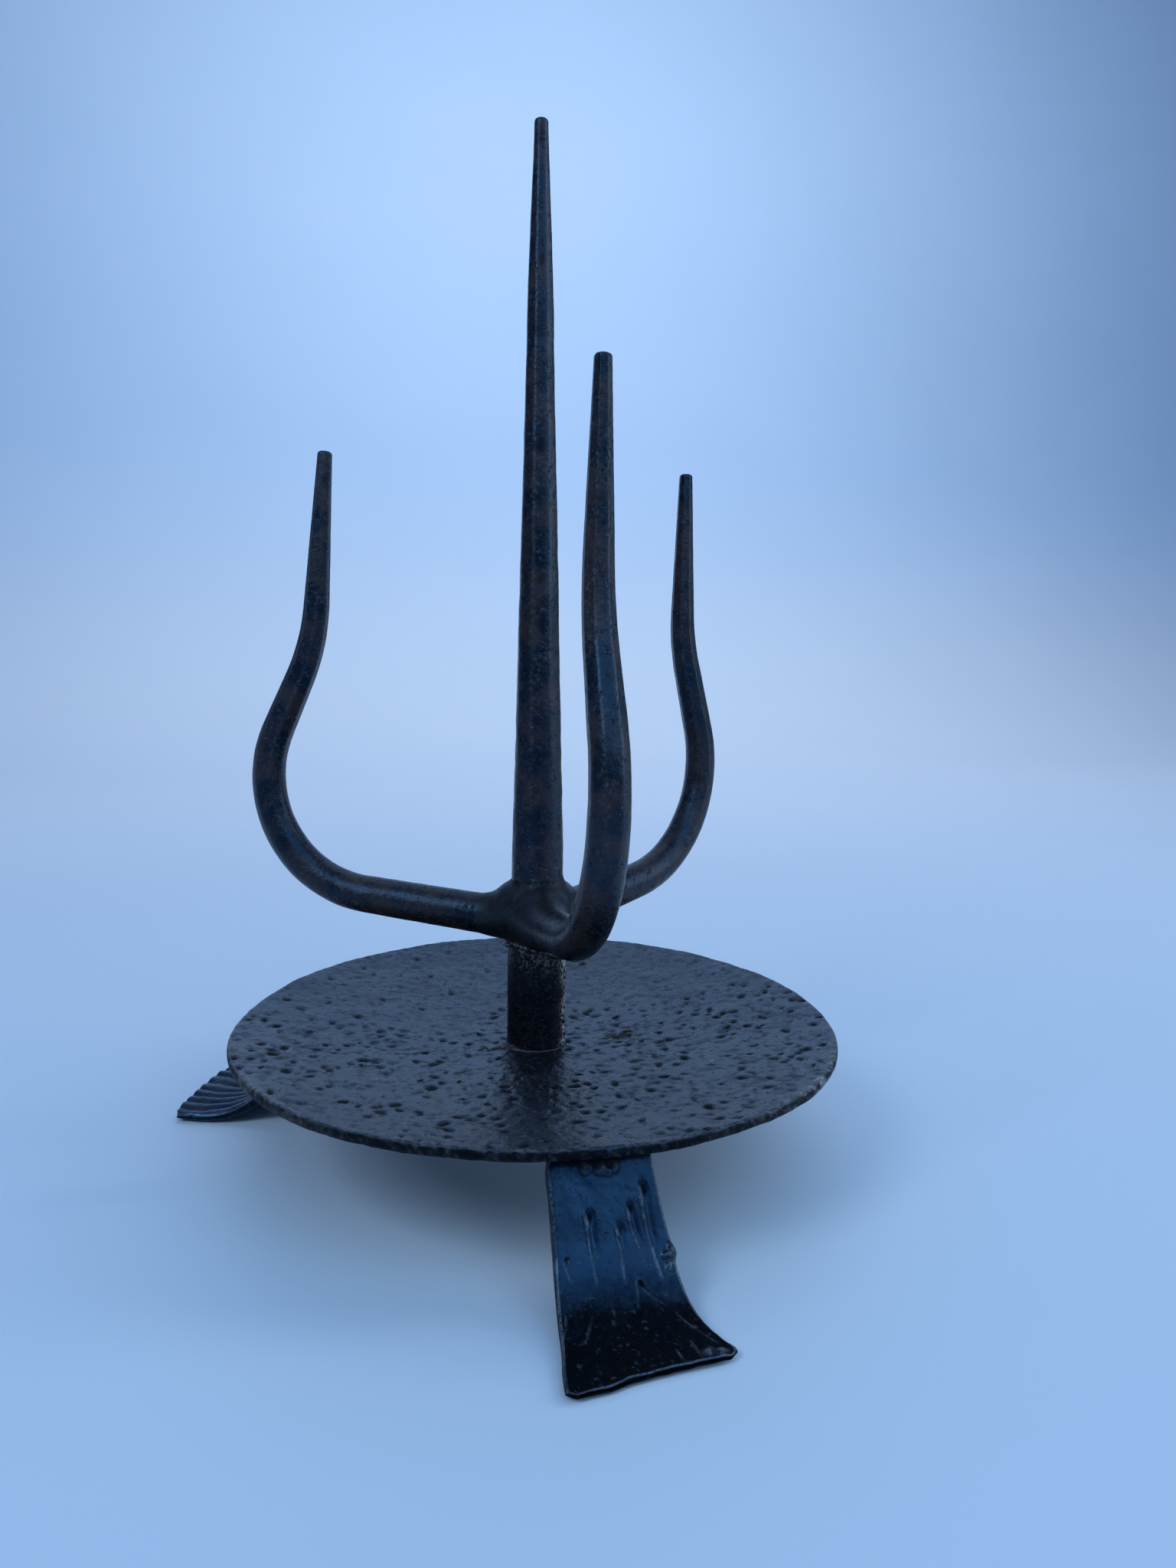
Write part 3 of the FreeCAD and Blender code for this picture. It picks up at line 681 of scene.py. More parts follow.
# %% The hammered plate tree
bench, wire = new_tree("Hammered plate", {
    "Columns": "Int", "Radius": "Float", "Blow Spacing": "Float", "Blow Length": "Float",
    "Blow Depth": "Float", "Rim Wander": "Float", "Seed": "Int", "Material": "Material"})
place = bench.shape("InputPosition")
place_y = bench.apart(place, "Y")
section = store(bench, wire["Geometry"], reach=bench.apart(place), height=place_y,
                side=bench.shape("InputRadius"))
circle = store(bench, unit_ring(bench, wire["Columns"]),
               turn=bench.shape("SplineParameter") * (2 * math.pi))
plate = bench.shape("CurveToMesh", Curve=circle, Profile_Curve=section)
turn, reach, side = (recall(bench, label) for label in ("turn", "reach", "side"))
round_place = bench.place(reach * turn.cosine(), reach * turn.sine(), recall(bench, "height"))
plate = bench.shape("SetPosition", Geometry=plate, Position=round_place)
plate = bench.shape("MergeByDistance", Geometry=plate, Distance=0.01 * MM)
wander_spot = bench.vector("ADD", place, bench.place(wire["Seed"] * 1.7))
slow = bench.noise(wander_spot, 55 * MM, 1.0) - 0.5
quick = bench.noise(wander_spot, 16 * MM, 2.0) - 0.5
wander = (slow + quick * 0.35) * wire["Rim Wander"] * (reach / wire["Radius"]) ** 3
plate = shift(bench, plate, bench.place(z=wander * 2))

on_top = bench.add("FunctionNodeCompare", {"data_type": "FLOAT", "operation": "LESS_THAN"},
                   {0: side, 1: 1.5})
blows = bench.add("GeometryNodeDistributePointsOnFaces", {"distribute_method": "POISSON"},
                  {"Mesh": plate, "Selection": on_top, "Distance Min": wire["Blow Spacing"],
                   "Density Max": 60000.0, "Seed": wire["Seed"]})
nearest = bench.add("GeometryNodeSampleNearest", {"domain": "POINT"}, {"Geometry": blows})
struck = bench.add("GeometryNodeSampleIndex", {"data_type": "FLOAT_VECTOR", "domain": "POINT"},
                   {"Geometry": blows, "Index": nearest, "Value": place})


def chance(low, high, step):
    """A random number that is the same for every point near one blow."""
    return bench.add("FunctionNodeRandomValue", {"data_type": "FLOAT"},
                     {2: low, 3: high, "ID": nearest, "Seed": step}, 1)


spin = chance(0.0, math.pi, 1)
half_length = chance(0.45, 1.1, 2) * wire["Blow Length"] / 2
half_width = half_length * chance(0.45, 0.85, 3)
away = bench.vector("SUBTRACT", place, struck)
away_x, away_y = bench.apart(away), bench.apart(away, "Y")
across = (away_x * spin.cosine() + away_y * spin.sine()) / half_length
beside = (away_y * spin.cosine() - away_x * spin.sine()) / half_width
edge = (across * across + beside * beside) ** 0.5
top = 1.0 - side.step(1.1, 1.9)
crowd = bench.noise(struck, 26 * MM, 1.0).step(0.3, 0.6) * 0.5 + 0.5
behind = place_y.step(-10 * MM, 70 * MM)
force = chance(-0.12, 1.0, 4).most(0.0) * crowd * (1.0 - behind * 0.55)
dent = (1.0 - edge.step(0.25, 1.0)) * force * top
lip = edge.step(0.7, 1.05) * (1.0 - edge.step(1.05, 1.5)) * force * top
uneven = (bench.noise(place, 14 * MM, 2.0) - 0.5) * 0.9 * MM \
    + (bench.noise(place, 3.6 * MM, 1.0) - 0.5) * 0.58 * MM
pock = (1.0 - bench.noise(place, 4.2 * MM, 1.0).step(0.34, 0.46)) * top * (1.0 - behind * 0.5)
sink = uneven + (lip * 0.2 - dent - pock * 0.3) * wire["Blow Depth"]
plate = shift(bench, plate, bench.place(z=sink))
grit = bench.noise(place, 2.5 * MM, 2.0).step(0.38, 0.6)
# Painted shade: the outer side of the rim and the whole underside are darkened, with a little
# grit in it.
rim_painted_shade = side.step(1.5, 1.75) * (grit * 0.3 + 0.75)
# A thin band along the top of the rim is painted lighter: partly wear, partly a painted highlight
# on the rounded edge.
rim_wear_and_highlight = 1.0 - (side - 1.45).size().step(0.0, 0.25)
# Dents and pocks are darkened: partly dirt held in them, partly painted shade on their walls.
plate = store(bench, plate, hollow=dent * 1.5 + pock * 0.42 + rim_painted_shade,
              ridge=rim_wear_and_highlight * grit)
hammered_plate = end_tree(bench, plate, wire["Material"])
print("plate tree:", len(hammered_plate.nodes), "nodes")

# %% [markdown]
# ## The plate itself
#
# The dish is part of a ball, so one radius gives its height anywhere. The real plate is a
# little out of true, with its back rim standing higher. Two stains beside the post, the
# rubbed parts of the rim and a few bright crumbs are marked on the finished points.

# %% Make the plate
PLATE_THICKNESS = 4 * MM
DISH = 10 * MM
RIM_ROUND = 1.5 * MM
PLATE_LIFT = 4.3 * MM
LIFT_TURN = math.radians(15)
SPHERE = (PLATE_RADIUS ** 2 + DISH ** 2) / (2 * DISH)


def dish(reach, under=0.0):
    """Height of the plate's face at this reach from the axis; under goes below the top."""
    return PLATE_TOP + SPHERE - np.sqrt((SPHERE + under) ** 2 - reach ** 2)


flat_reach = PLATE_RADIUS - RIM_ROUND
top_reach = np.linspace(0, flat_reach, 105)
under_reach = np.linspace(flat_reach, 0, 50)
bend = np.radians(np.linspace(80, 0, 5))
upper, lower = (np.column_stack([flat_reach + RIM_ROUND * np.cos(bend),
                                 dish(flat_reach, under) + inward * (1 - np.sin(bend))])
                for under, inward in ((0, -RIM_ROUND), (PLATE_THICKNESS, RIM_ROUND)))
section = np.vstack([np.column_stack([top_reach, dish(top_reach)]), upper, lower[::-1],
                     np.column_stack([under_reach, dish(under_reach, PLATE_THICKNESS)])])
section = np.column_stack([section, np.zeros(len(section))])
sides = np.concatenate([np.full(len(top_reach), 1.0), np.linspace(1.4, 2.6, 2 * len(bend)),
                        np.full(len(under_reach), 3.0)])
plate_piece = run_tree(curve_draft("plate_section", section, sides), hammered_plate,
                       "plate_hammered", columns=560, radius=PLATE_RADIUS,
                       blow_spacing=4.4 * MM, blow_length=7.4 * MM, blow_depth=0.8 * MM,
                       rim_wander=0.6 * MM, seed=5, material=plate_iron)
plate_piece.data.transform(Matrix.Translation(Vector(AXIS)))
spots = points_of(plate_piece.data)
away_side = (spots - AXIS) @ (math.sin(LIFT_TURN), math.cos(LIFT_TURN), 0)
side = np.linalg.norm((spots - AXIS)[:, :2], axis=1) / PLATE_RADIUS
spots[:, 2] += PLATE_LIFT * np.maximum(away_side / PLATE_RADIUS, 0) * side

# %% Mark the plate's stains, scuffs and crumbs
STAINS = (((34.5, 13.5), 3.4), ((40, 15.5), 2.6), ((30, 12), 2.2), ((-14, 13), 2.4),
          ((-18, 11.5), 2), ((-23, 11), 1.6))
BRIGHT_CRUMBS = ((-45, 60), (17, 41), (62, -30), (-70, -20), (30, 85))
CRUMB_SIZE = 0.7
RUSTY_ARC, RUBBED_ARC, SCUFFED_ARC = (-165, 20), (-160, 20), (-46, 15)


def gap_to(spot):
    """Distance of each point of the plate from a spot, in mm, seen from above."""
    return np.linalg.norm(spots[:, :2] / MM - spot, axis=1)


rough = 0.5 + 0.5 * lumps(spots, 1.6 * MM, 31) + 0.3 * lumps(spots, 5 * MM, 32)
fine = smooth_step(lumps(spots, 1.1 * MM, 33), 0.2, 0.7)
stain = np.zeros(len(spots))
for spot, size in STAINS:
    stain = np.maximum(stain, bell(gap_to(spot), 0, size) * rough * 1.6)
soot = np.clip(stain * 2.4, 0, 1)
crumbs = 3.0 * fine * (stain > 0.3)
stain *= 0.6
around = azimuth_of(spots)
on_rim = smooth_step(side, 0.972, 0.99)
stain += on_rim * rough * 0.3 * bell(around, *RUSTY_ARC)
scuffed = smooth_step(lumps(spots, 1.4 * MM, 34) + 0.6 * lumps(spots, 4 * MM, 35), -0.1, 0.5)
crumbs += on_rim * (0.12 * fine + scuffed * bell(around, *SCUFFED_ARC)
                    + 0.4 * scuffed * bell(around, *RUBBED_ARC))
for spot in BRIGHT_CRUMBS:
    crumbs += 1.5 * (gap_to(spot) < CRUMB_SIZE)
spots[:, 2] += stain * (side < 0.5) * MM
mesh = plate_piece.data
mesh.vertices.foreach_set("co", spots.ravel())
mark_points(mesh, "stain", stain)
mark_points(mesh, "hollow", marks_of(mesh, "hollow") + soot)
mark_points(mesh, "ridge", marks_of(mesh, "ridge") * 0.3 + crumbs)
hand_over(plate_piece, "drip_plate")

# %% [markdown]
# ## Flat legs, drawn and spread
#
# Each leg is flat bar. It runs bedded under the plate, bends down past the rim and is
# spread at the foot, where the hammer and a chisel left long grooves, dull scale and a
# thin ragged toe. The leg is a table of cross-sections along its line. The grooves are
# drawn on it the way the smith cut them: a start, an end, and a burr on one side.

# %% The leg's shape
SEAT_SLOPE = 5.155
LEG_LINE = walk((45.285 * MM, 41.868 * MM), SEAT_SLOPE,
                [(52 * MM, 0), (10.549 * MM, -62 - SEAT_SLOPE), (20.477 * MM, 0),
                 (43.284 * MM, 62), (7.239 * MM, 0)])
LEG_RUN = travelled(LEG_LINE)
LEG_LENGTH = LEG_RUN[-1]
LEG_THICK = 5 * MM
TOE_THICK = 2.6 * MM
TOE_THINNING = 22 * MM
EDGE_ROUND = 1.2 * MM
NOSE_ROUND = 0.7 * MM
NOSE_TURNS = [30, 55, 75, 90]
TOP_COLUMNS = 100
EDGE_RUNS = [0, 55, 63, 71, 80, 89, 99, 108, 114, 119.5, 125, 130, 134]
EDGE_SOFT = 6
FLUTE_TURN = 12.3
TOE_EDGE = 9 * MM


def leg_ring():
    """Corner side, corner height and rounding direction of each point round a section."""
    flat = np.linspace(-1, 1, TOP_COLUMNS)
    corner = np.radians(np.linspace(75, 0, 5))
    pieces = [np.column_stack([flat, np.ones(TOP_COLUMNS), 0 * flat, np.ones(TOP_COLUMNS)])]
    for height, turn in ((1, corner), (-1, corner[::-1])):
        pieces.append(np.column_stack([np.ones(5), np.full(5, height), np.cos(turn),
                                       np.sin(turn) * height]))
    half = np.vstack(pieces)
    return np.vstack([half, -half])


def leg_edge(widths, runs):
    """Distance of one edge from the leg's middle line at each run, with soft corners."""
    width = np.pad(np.interp(runs / MM, EDGE_RUNS, widths), EDGE_SOFT, "edge")
    kernel = np.ones(2 * EDGE_SOFT + 1) / (2 * EDGE_SOFT + 1)
    return np.convolve(width, kernel, "valid")[:, None] * MM


def leg_piece(name, azimuth, seed, sooty, flutes, toe_length, grooves, blobs, edges,
              toe_line):
    """Build one leg. Grooves are (from, from across, to, to across, width, depth) and
    blobs are (along, across, size, height, rust), all in mm but the rust. Sooty says how
    dark the foot is, flutes how deep its waves are, and toe_line pulls the toe out."""
    ring = leg_ring()
    runs = np.concatenate([LEG_RUN, np.full(len(NOSE_TURNS), LEG_LENGTH)])
    nose = np.radians(np.concatenate([np.zeros(len(LEG_RUN)), NOSE_TURNS]))[:, None]
    near_edge, far_edge = (leg_edge(edge, runs) for edge in edges)
    thick = np.interp(runs, [0, LEG_LENGTH - TOE_THINNING, LEG_LENGTH],
                      [LEG_THICK, LEG_THICK, TOE_THICK]) / 2
    line = read_off(runs, LEG_RUN, LEG_LINE)
    ahead = read_off(runs, LEG_RUN, headings(LEG_LINE))
    over = np.column_stack([-ahead[:, 1], ahead[:, 0]])

    shape = (len(runs), len(ring))
    run = np.broadcast_to(runs[:, None], shape)
    side, level, lean, lift = (np.broadcast_to(column, shape) for column in ring.T)

    def spots_at(*columns):
        """Spots to read lumps at, one for each point of the leg."""
        return np.column_stack([np.broadcast_to(column, shape).ravel() for column in columns])

    def rough(size, step, spots):
        """Lumps at these spots; each step number gives lumps of its own."""
        return lumps(spots, size, seed + step).reshape(shape)

    half_thick = thick[:, None] - NOSE_ROUND * (1 - np.cos(nose))
    corner = np.minimum(EDGE_ROUND, half_thick * 0.9)
    wavy = rough(11 * MM, 0, spots_at(run, np.sign(side) * 0.05, 0)) * 0.5 * MM
    middle = (far_edge - near_edge) / 2
    half_wide = (far_edge + near_edge) / 2 + wavy * smooth_step(run, 60 * MM, 80 * MM)
    thinning = smooth_step(run, 84 * MM, 110 * MM) * smooth_step(np.abs(side), 0.55, 1.0)
    half_thick = half_thick * (1 - 0.35 * thinning)
    x = middle + side * (half_wide - corner) + corner * lean
    y = level * (half_thick - corner) + corner * lift

    skin = spots_at(run, x, seed * 0.1)
    wander = rough(7 * MM, 1, skin) * 0.5 * MM
    broken = 0.35 + 0.65 * smooth_step(rough(2.6 * MM, 11, skin), -0.5, 0.3)
    burr, cut, dark, crumbs, rusty = np.zeros((5, *shape))
    for start, start_side, end, end_side, width, depth in np.array(grooves) * MM:
        chord = np.array([end - start, end_side - start_side])
        length = np.linalg.norm(chord)
        part = ((run - start) * chord[0] + (x - start_side) * chord[1]) / length ** 2
        off = ((run - start) * chord[1] - (x - start_side) * chord[0]) / length + wander
        within = smooth_step(part, -0.02, 0.03) * (1 - smooth_step(part, 0.45, 1.05))
        pit = bell(part, 0.08, 0.1) * bell(off, 0, width)
        cut += depth * (0.45 * within * bell(off, 0, width) + 0.9 * pit)
        dark += pit
        raised = smooth_step(part, -0.03, 0.08) * (1 - smooth_step(part, 0.8, 1.15))
        burr += depth * 0.5 * raised * broken * bell(off, 1.6 * width, 0.42 * width)

    streaks = rough(1.1 * MM, 12, skin * [0.3, 1, 1]) * 3 * MM
    foot = smooth_step(run + rough(6 * MM, 9, skin) * 5 * MM + streaks,
                       LEG_LENGTH - 40 * MM, LEG_LENGTH - 16 * MM)
    beaten = rough(7 * MM, 2, skin) * (0.15 + 0.15 * foot) * MM \
        + rough(1.8 * MM, 3, skin) * (0.04 + 0.09 * foot) * MM
    fan = (x - middle) / half_wide * FLUTE_TURN + rough(16 * MM, 8, skin) * 1.2
    beaten += flutes * np.abs(np.sin(fan)) * smooth_step(run, 84 * MM, 100 * MM)
    upward = np.clip(lift, 0, 1)
    y = y + (burr - cut + beaten) * upward
    crust = 1 + 0.9 * rough(1.5 * MM, 4, skin)
    for spot, spot_side, size, height, rust in np.array(blobs) * MM:
        mound = np.exp(-(((run - spot) ** 2 + (x - spot_side) ** 2) / size ** 2) ** 1.5)
        rusty += rust / MM * mound
        crumbs += mound * (crust - 0.5)
        y = y + height * mound * upward * crust
        x = x + height * 0.7 * mound * np.sign(side) * (np.abs(side) > 0.9)

    toe = smooth_step(run, LEG_LENGTH - TOE_EDGE, LEG_LENGTH)
    tips = spots_at(x, seed * 0.3, 0)
    ragged = rough(9 * MM, 5, tips) * 0.9 + rough(2.6 * MM, 6, tips) * 0.35
    stretch = smooth_step(run, LEG_LENGTH - toe_length, LEG_LENGTH)
    round_corner = smooth_step(np.abs(x - middle) / half_wide, 0.88, 1.0)
    forward = np.interp(x / MM, *toe_line) * MM * stretch \
        + (ragged * 0.5 - round_corner * 2.2) * MM * toe + np.sin(nose) * NOSE_ROUND
    reach = line[:, :1] + over[:, :1] * y + ahead[:, :1] * forward
    height = np.maximum(line[:, 1:] + over[:, 1:] * y + ahead[:, 1:] * forward, 0)
    points = AXIS + reach[..., None] * outward(azimuth) + x[..., None] * sideways(azimuth) \
        + height[..., None] * UP

    top_edge = (lift > 0.55) & (lift < 0.99)
    toe_edge = (nose > 0.1) & (nose < 1.2) & (lift > 0.5)
    worn = 0.7 + 0.5 * rough(4 * MM, 7, skin)
    # Painted glints: small light spots on the foot, standing in for light caught by the hammered
    # surface.
    painted_glints = smooth_step(rough(1.1 * MM, 10, skin), 0.5, 0.85)
    # The burrs, top edges and toe edge are painted lighter here: partly wear, partly painted
    # highlights where edges catch the light.
    ridge = burr / (0.35 * MM) + (top_edge * 1.0 + toe_edge) * worn + crumbs \
        + painted_glints * foot * 0.4
    # The side walls, where lift is small, are darkened as painted shade.
    hollow = dark + foot * sooty * (1 - ridge.clip(0, 1)) + 0.55 * (np.abs(lift) < 0.5)
    piece = mesh_piece(name, points.reshape(-1, 3), skin_faces(*shape), leg_iron,
                       ridge=ridge.ravel(), hollow=hollow.ravel(), stain=rusty.ravel())
    for cap in list(piece.data.polygons)[-2:]:
        cap.use_smooth = False
    return piece


# %% [markdown]
# ## The three legs
#
# The front leg shows all its marks in the photograph, so its grooves, crumbs of weld
# metal and edges were measured one by one. The left one shows only its fluted foot. The
# right one is hidden, so it is a plainer neighbour of the front one.

# %% Make the legs
FRONT_GROOVES = [
    (76.5, -7, 98, -6.3, 1.1, 0.6), (81.5, 3, 99, 3.3, 0.9, 0.5),
    (75.5, 6.8, 94, 10.2, 0.9, 0.5), (69.5, 11.8, 100, 15.4, 1.1, 0.6),
    (90, -16.5, 97, -14.6, 0.8, 0.4), (100, 6, 109, 5, 0.7, 0.4),
    (100, 6, 108.5, 13, 0.7, 0.35), (124, 17, 133, 18.5, 0.8, 0.5),
    (127, 11.5, 133, 12.5, 0.7, 0.5), (110, -10, 118, -14, 0.8, 0.3),
    (108, -18, 116, -21, 0.8, 0.3), (112, 16, 126, 25, 0.8, 0.4)]
FRONT_BLOBS = [
    (92, 18.6, 2.9, 1.3, 0.05), (96.5, 17.4, 1.8, 0.7, 0), (131, 20, 2.2, 0.9, 0),
    (132, 24, 1.8, 0.7, 0), (63, -7, 1.6, 0.6, 0.9), (63.2, -2, 1.9, 0.9, 0.8),
    (63.2, 3, 1.6, 0.9, 0.6), (64.5, 0.5, 1.3, 0.5, 0.5)]
FRONT_EDGES = (
    [17.75, 17.9, 19.9, 19.8, 20, 20.2, 20.8, 21.6, 22.3, 23.3, 24.4, 25.4, 26.1],
    [17.75, 17.4, 16.5, 17.2, 17.9, 19, 20.4, 21.2, 22.6, 24.7, 27.4, 29, 28.9])
LEFT_EDGES = (
    [17.75, 17.75, 17.75, 18.2, 19.4, 21.4, 24, 25.6, 26.6, 27.4, 28.2, 29.4, 30],
    [17.75, 17.75, 17.75, 17.75, 17.9, 18.6, 20, 22, 23.6, 25.2, 26.8, 28.2, 28.4])
RIGHT_EDGES = (
    [17.75, 17.75, 17.75, 17.75, 17.9, 18.8, 20.2, 21.4, 22.6, 23.8, 25, 26.4, 27.4],
    [17.75, 17.75, 17.75, 17.75, 17.9, 18.4, 19.6, 20.8, 22, 23.2, 24.6, 26.2, 27.2])
FRONT_TOE = ([-26.5, -18, -11.4, -5.5, 3, 11.4, 17.2, 28.5],
             [4.2, 3.8, 2.8, 0.9, -0.4, -1.1, -1.8, -1.8])
LEFT_TOE = ([-28.5, -20.6, -5, 12.7, 25], [14, 14.6, 12.5, 8.2, 4.2])
RIGHT_TOE = ([-27, -8, 10, 27], [3, 1.5, 0.5, -1])
SIDE_GROOVES = [(70, -9, 96, -10, 1.0, 0.5), (75, 2, 99, 3, 0.9, 0.5),
                (68, 10, 98, 13, 1.0, 0.5)]
SIDE_BLOBS = [(90, -17, 2.5, 0.8, 0)]
# Each leg: azimuth, seed, soot on the foot, flute depth, length of the toe, its marks.
LEGS = {
    "front": (270, 41, 0.95, 0, 9 * MM, FRONT_GROOVES, FRONT_BLOBS, FRONT_EDGES, FRONT_TOE),
    "left": (148, 53, 0.25, 1.0 * MM, 50 * MM, SIDE_GROOVES, [], LEFT_EDGES, LEFT_TOE),
    "right": (30, 67, 0.6, 0.7 * MM, 20 * MM, SIDE_GROOVES, SIDE_BLOBS, RIGHT_EDGES,
              RIGHT_TOE)}
for leg_name, settings in LEGS.items():
    hand_over(leg_piece(f"leg_{leg_name}_bar", *settings), f"leg_{leg_name}")

# %% [markdown]
# ## The hub, a lump of weld metal
#
# The smith held spike, post and arms together and ran weld metal round them until they
# were one lump, then hammered and filed it a little. Soft fused metal is what a voxel
# remesh gives: the lemon-shaped core, a cone on each arm, the flat face and the drips
# under it are thrown together, fused, and relaxed until they flow into each other. Fine
# lumps are put on afterwards, since relaxing would melt them away.

# %% Make the hub
CORE_HEIGHTS = np.array([86, 88.5, 91, 94, 98, 103, 108, 112, 114.5, 116.5, 120, 128]) * MM
CORE_RADII = np.array([11.4, 12.0, 12.5, 13.4, 15.2, 16.6, 16.4, 15.0, 13.3, 11.4, 10.4,
                       10.0]) * MM
ROOT_STOPS = np.array([0, 4, 8, 12.5, 17, 22]) * MM
ROOT_RISE = np.array([4.2, 2.6, 1.1, 0.3, 0, 0]) * MM
ROOT_RADII = np.array([13.3, 12.2, 10.6, 9.3, 8.5, 7.9]) * MM
FRONT_STRETCH = 1.35
FACE_HEIGHTS = np.array([97, 101, 106, 111, 122]) * MM
FACE_RADII = np.array([7.5, 9.7, 9.8, 7.4, 2.4]) * MM
DRIP_HEIGHTS = np.array([87.2, 88.6, 96]) * MM
DRIP_RADII = np.array([1.2, 2.4, 3.4]) * MM
COLLAR_HEIGHT = 118.5 * MM
FACE_AZIMUTH, FACE_REACH = -112, 7.5 * MM
DRIP_AZIMUTHS, DRIP_REACH = (-60, -35, -10), 10.6 * MM


def tube(line, radii, columns=40):
    """Points and faces of a closed tube round a line of points."""
    ahead = headings(line)
    start = UP if abs(ahead[0][2]) < 0.8 else np.array([1, 0, 0])
    first = np.cross(ahead, start)
    first /= np.linalg.norm(first, axis=1)[:, None]
    second = np.cross(ahead, first)
    turn = np.linspace(0, 2 * math.pi, columns, endpoint=False)[:, None]
    ring = np.cos(turn) * first[:, None] + np.sin(turn) * second[:, None]
    points = (line[:, None] + radii[:, None, None] * ring).reshape(-1, 3)
    return points, skin_faces(len(line), columns)


def pillar(azimuth, reach, heights, radii, columns=40):
    """An upright tube at this azimuth and reach from the axis."""
    foot = AXIS + reach * outward(azimuth)
    return tube(foot + heights[:, None] * UP, radii, columns)


core_rise = np.linspace(CORE_HEIGHTS[0], CORE_HEIGHTS[-1], 43)
parts = [pillar(0, 0, core_rise, np.interp(core_rise, CORE_HEIGHTS, CORE_RADII))]
for arm_name, line in arm_lines.items():
    stops = ROOT_STOPS * (FRONT_STRETCH if arm_name == "front" else 1.0)
    root = read_off(stops, travelled(line), line)
    parts.append(tube(root + ROOT_RISE[:, None] * UP, ROOT_RADII))
parts.append(pillar(FACE_AZIMUTH, FACE_REACH, FACE_HEIGHTS, FACE_RADII))
parts += [pillar(azimuth, DRIP_REACH, DRIP_HEIGHTS, DRIP_RADII, 16)
          for azimuth in DRIP_AZIMUTHS]
draft = link(mesh_piece("hub_draft", *joined(parts), weld_iron))
fuse = draft.modifiers.new("fuse", "REMESH")
fuse.mode = "VOXEL"
fuse.voxel_size = 0.7 * MM
relax = draft.modifiers.new("relax", "SMOOTH")
relax.factor = 0.5
relax.iterations = 26
hub = evaluated(draft, "hub_weld_metal")
spots = points_of(hub.data)
normals = np.array([tuple(vertex.normal) for vertex in hub.data.vertices])
bumpy = lumps(spots, 7 * MM, 71) * 0.15 + lumps(spots, 2.2 * MM, 72) * 0.04
spots = spots + normals * (bumpy * MM)[:, None]
hub.data.vertices.foreach_set("co", spots.ravel())
# The band round the crease where the hub meets the spike is darkened as painted shade.
mark_points(hub.data, "hollow", bell(spots[:, 2], COLLAR_HEIGHT, 3.2 * MM)
            * (0.9 + 0.3 * lumps(spots, 2 * MM, 73)))
hub.data.shade_smooth()
hub.data.update()
hand_over(hub, "hub_weld")

# %% [markdown]
# ## Weld beads
#
# A stick weld lays its metal in small ripples, one for each swing of the hand, and it
# wanders a little. One tree makes every bead: round the foot and top of the post, and
# along the legs where they are fixed under the plate.

# %% The weld bead tree
bench, wire = new_tree("Weld bead", {"Ripple": "Float", "Ripple Depth": "Float",
                                     "Lump Depth": "Float", "Wear": "Float", "Rust": "Float",
                                     "Material": "Material"})
bead = sweep(bench, wire["Geometry"], unit_ring(bench, 28))
place = bench.shape("InputPosition")
swing = (recall(bench, "along") / wire["Ripple"]
         + (bench.noise(place, 6 * MM, 1.0) - 0.5) * 2.0).rest()
ripple = (swing - 0.5).size() * -2.0 * wire["Ripple Depth"]
coarse = (bench.noise(place, 4 * MM, 2.0) - 0.5) * wire["Lump Depth"]
bead = push_out(bench, bead, ripple + coarse)
bead = store(bench, bead, ridge=(1.0 - swing * 1.3) * wire["Wear"],
             stain=bench.noise(place, 3 * MM, 2.0).step(0.35, 0.65) * wire["Rust"],
             hollow=(swing - 0.6) * 2.0)
weld_bead = end_tree(bench, bead, wire["Material"])
print("weld bead tree:", len(weld_bead.nodes), "nodes")


def bead_piece(name, points, radii, closed=False, ripple_depth=0.16, wear=0.1, rust=0.2):
    """One bead along these points."""
    return run_tree(curve_draft(name + "_line", points, radii, closed), weld_bead, name,
                    ripple=2.6 * MM, ripple_depth=ripple_depth, lump_depth=0.5, wear=wear,
                    rust=rust, material=weld_iron)


# %% Make the ring beads
POST_RADIUS = 12.5 * MM
SEAM_TURNS = np.radians([-180, -151, -119, -90, -43, 0, 60, 120, 180])
SEAM_HEIGHTS = np.array([90, 92.6, 90.7, 88.9, 85.5, 87, 88.5, 89.5, 90]) * MM
turn = np.linspace(-math.pi, math.pi, 260, endpoint=False)


def ring_line(heights, reach, sway, seed):
    """A ring round the post whose height sways a little."""
    around = np.column_stack([np.cos(turn), np.sin(turn), 0 * turn]) * reach
    sways = lumps(around, 3.5 * MM, seed) * sway
    return AXIS + around + (heights + sways)[:, None] * UP


top_ring = ring_line(np.interp(turn, SEAM_TURNS, SEAM_HEIGHTS), POST_RADIUS + 0.3 * MM,
                     0.9 * MM, 81)
top_radii = (0.85 + 0.4 * lumps(top_ring, 2.5 * MM, 82)) * MM
# The top bead is worn light along its ripples, and lighter than wear alone: a painted highlight
# where the arm shades it.
hand_over(bead_piece("post_top_bead", top_ring, top_radii, closed=True, wear=0.9, rust=0.1),
          "post_top_weld")
foot_ring = ring_line(PLATE_TOP, POST_RADIUS - 0.3 * MM, 0.3 * MM, 83)
foot_radii = (0.72 + 0.35 * lumps(foot_ring, 3 * MM, 84) + 1.5 * bell(turn, -2.6, 0.2)) * MM
hand_over(bead_piece("post_foot_bead", foot_ring, foot_radii, closed=True,
                     ripple_depth=0.05, wear=0.0, rust=0.25), "post_foot_weld")

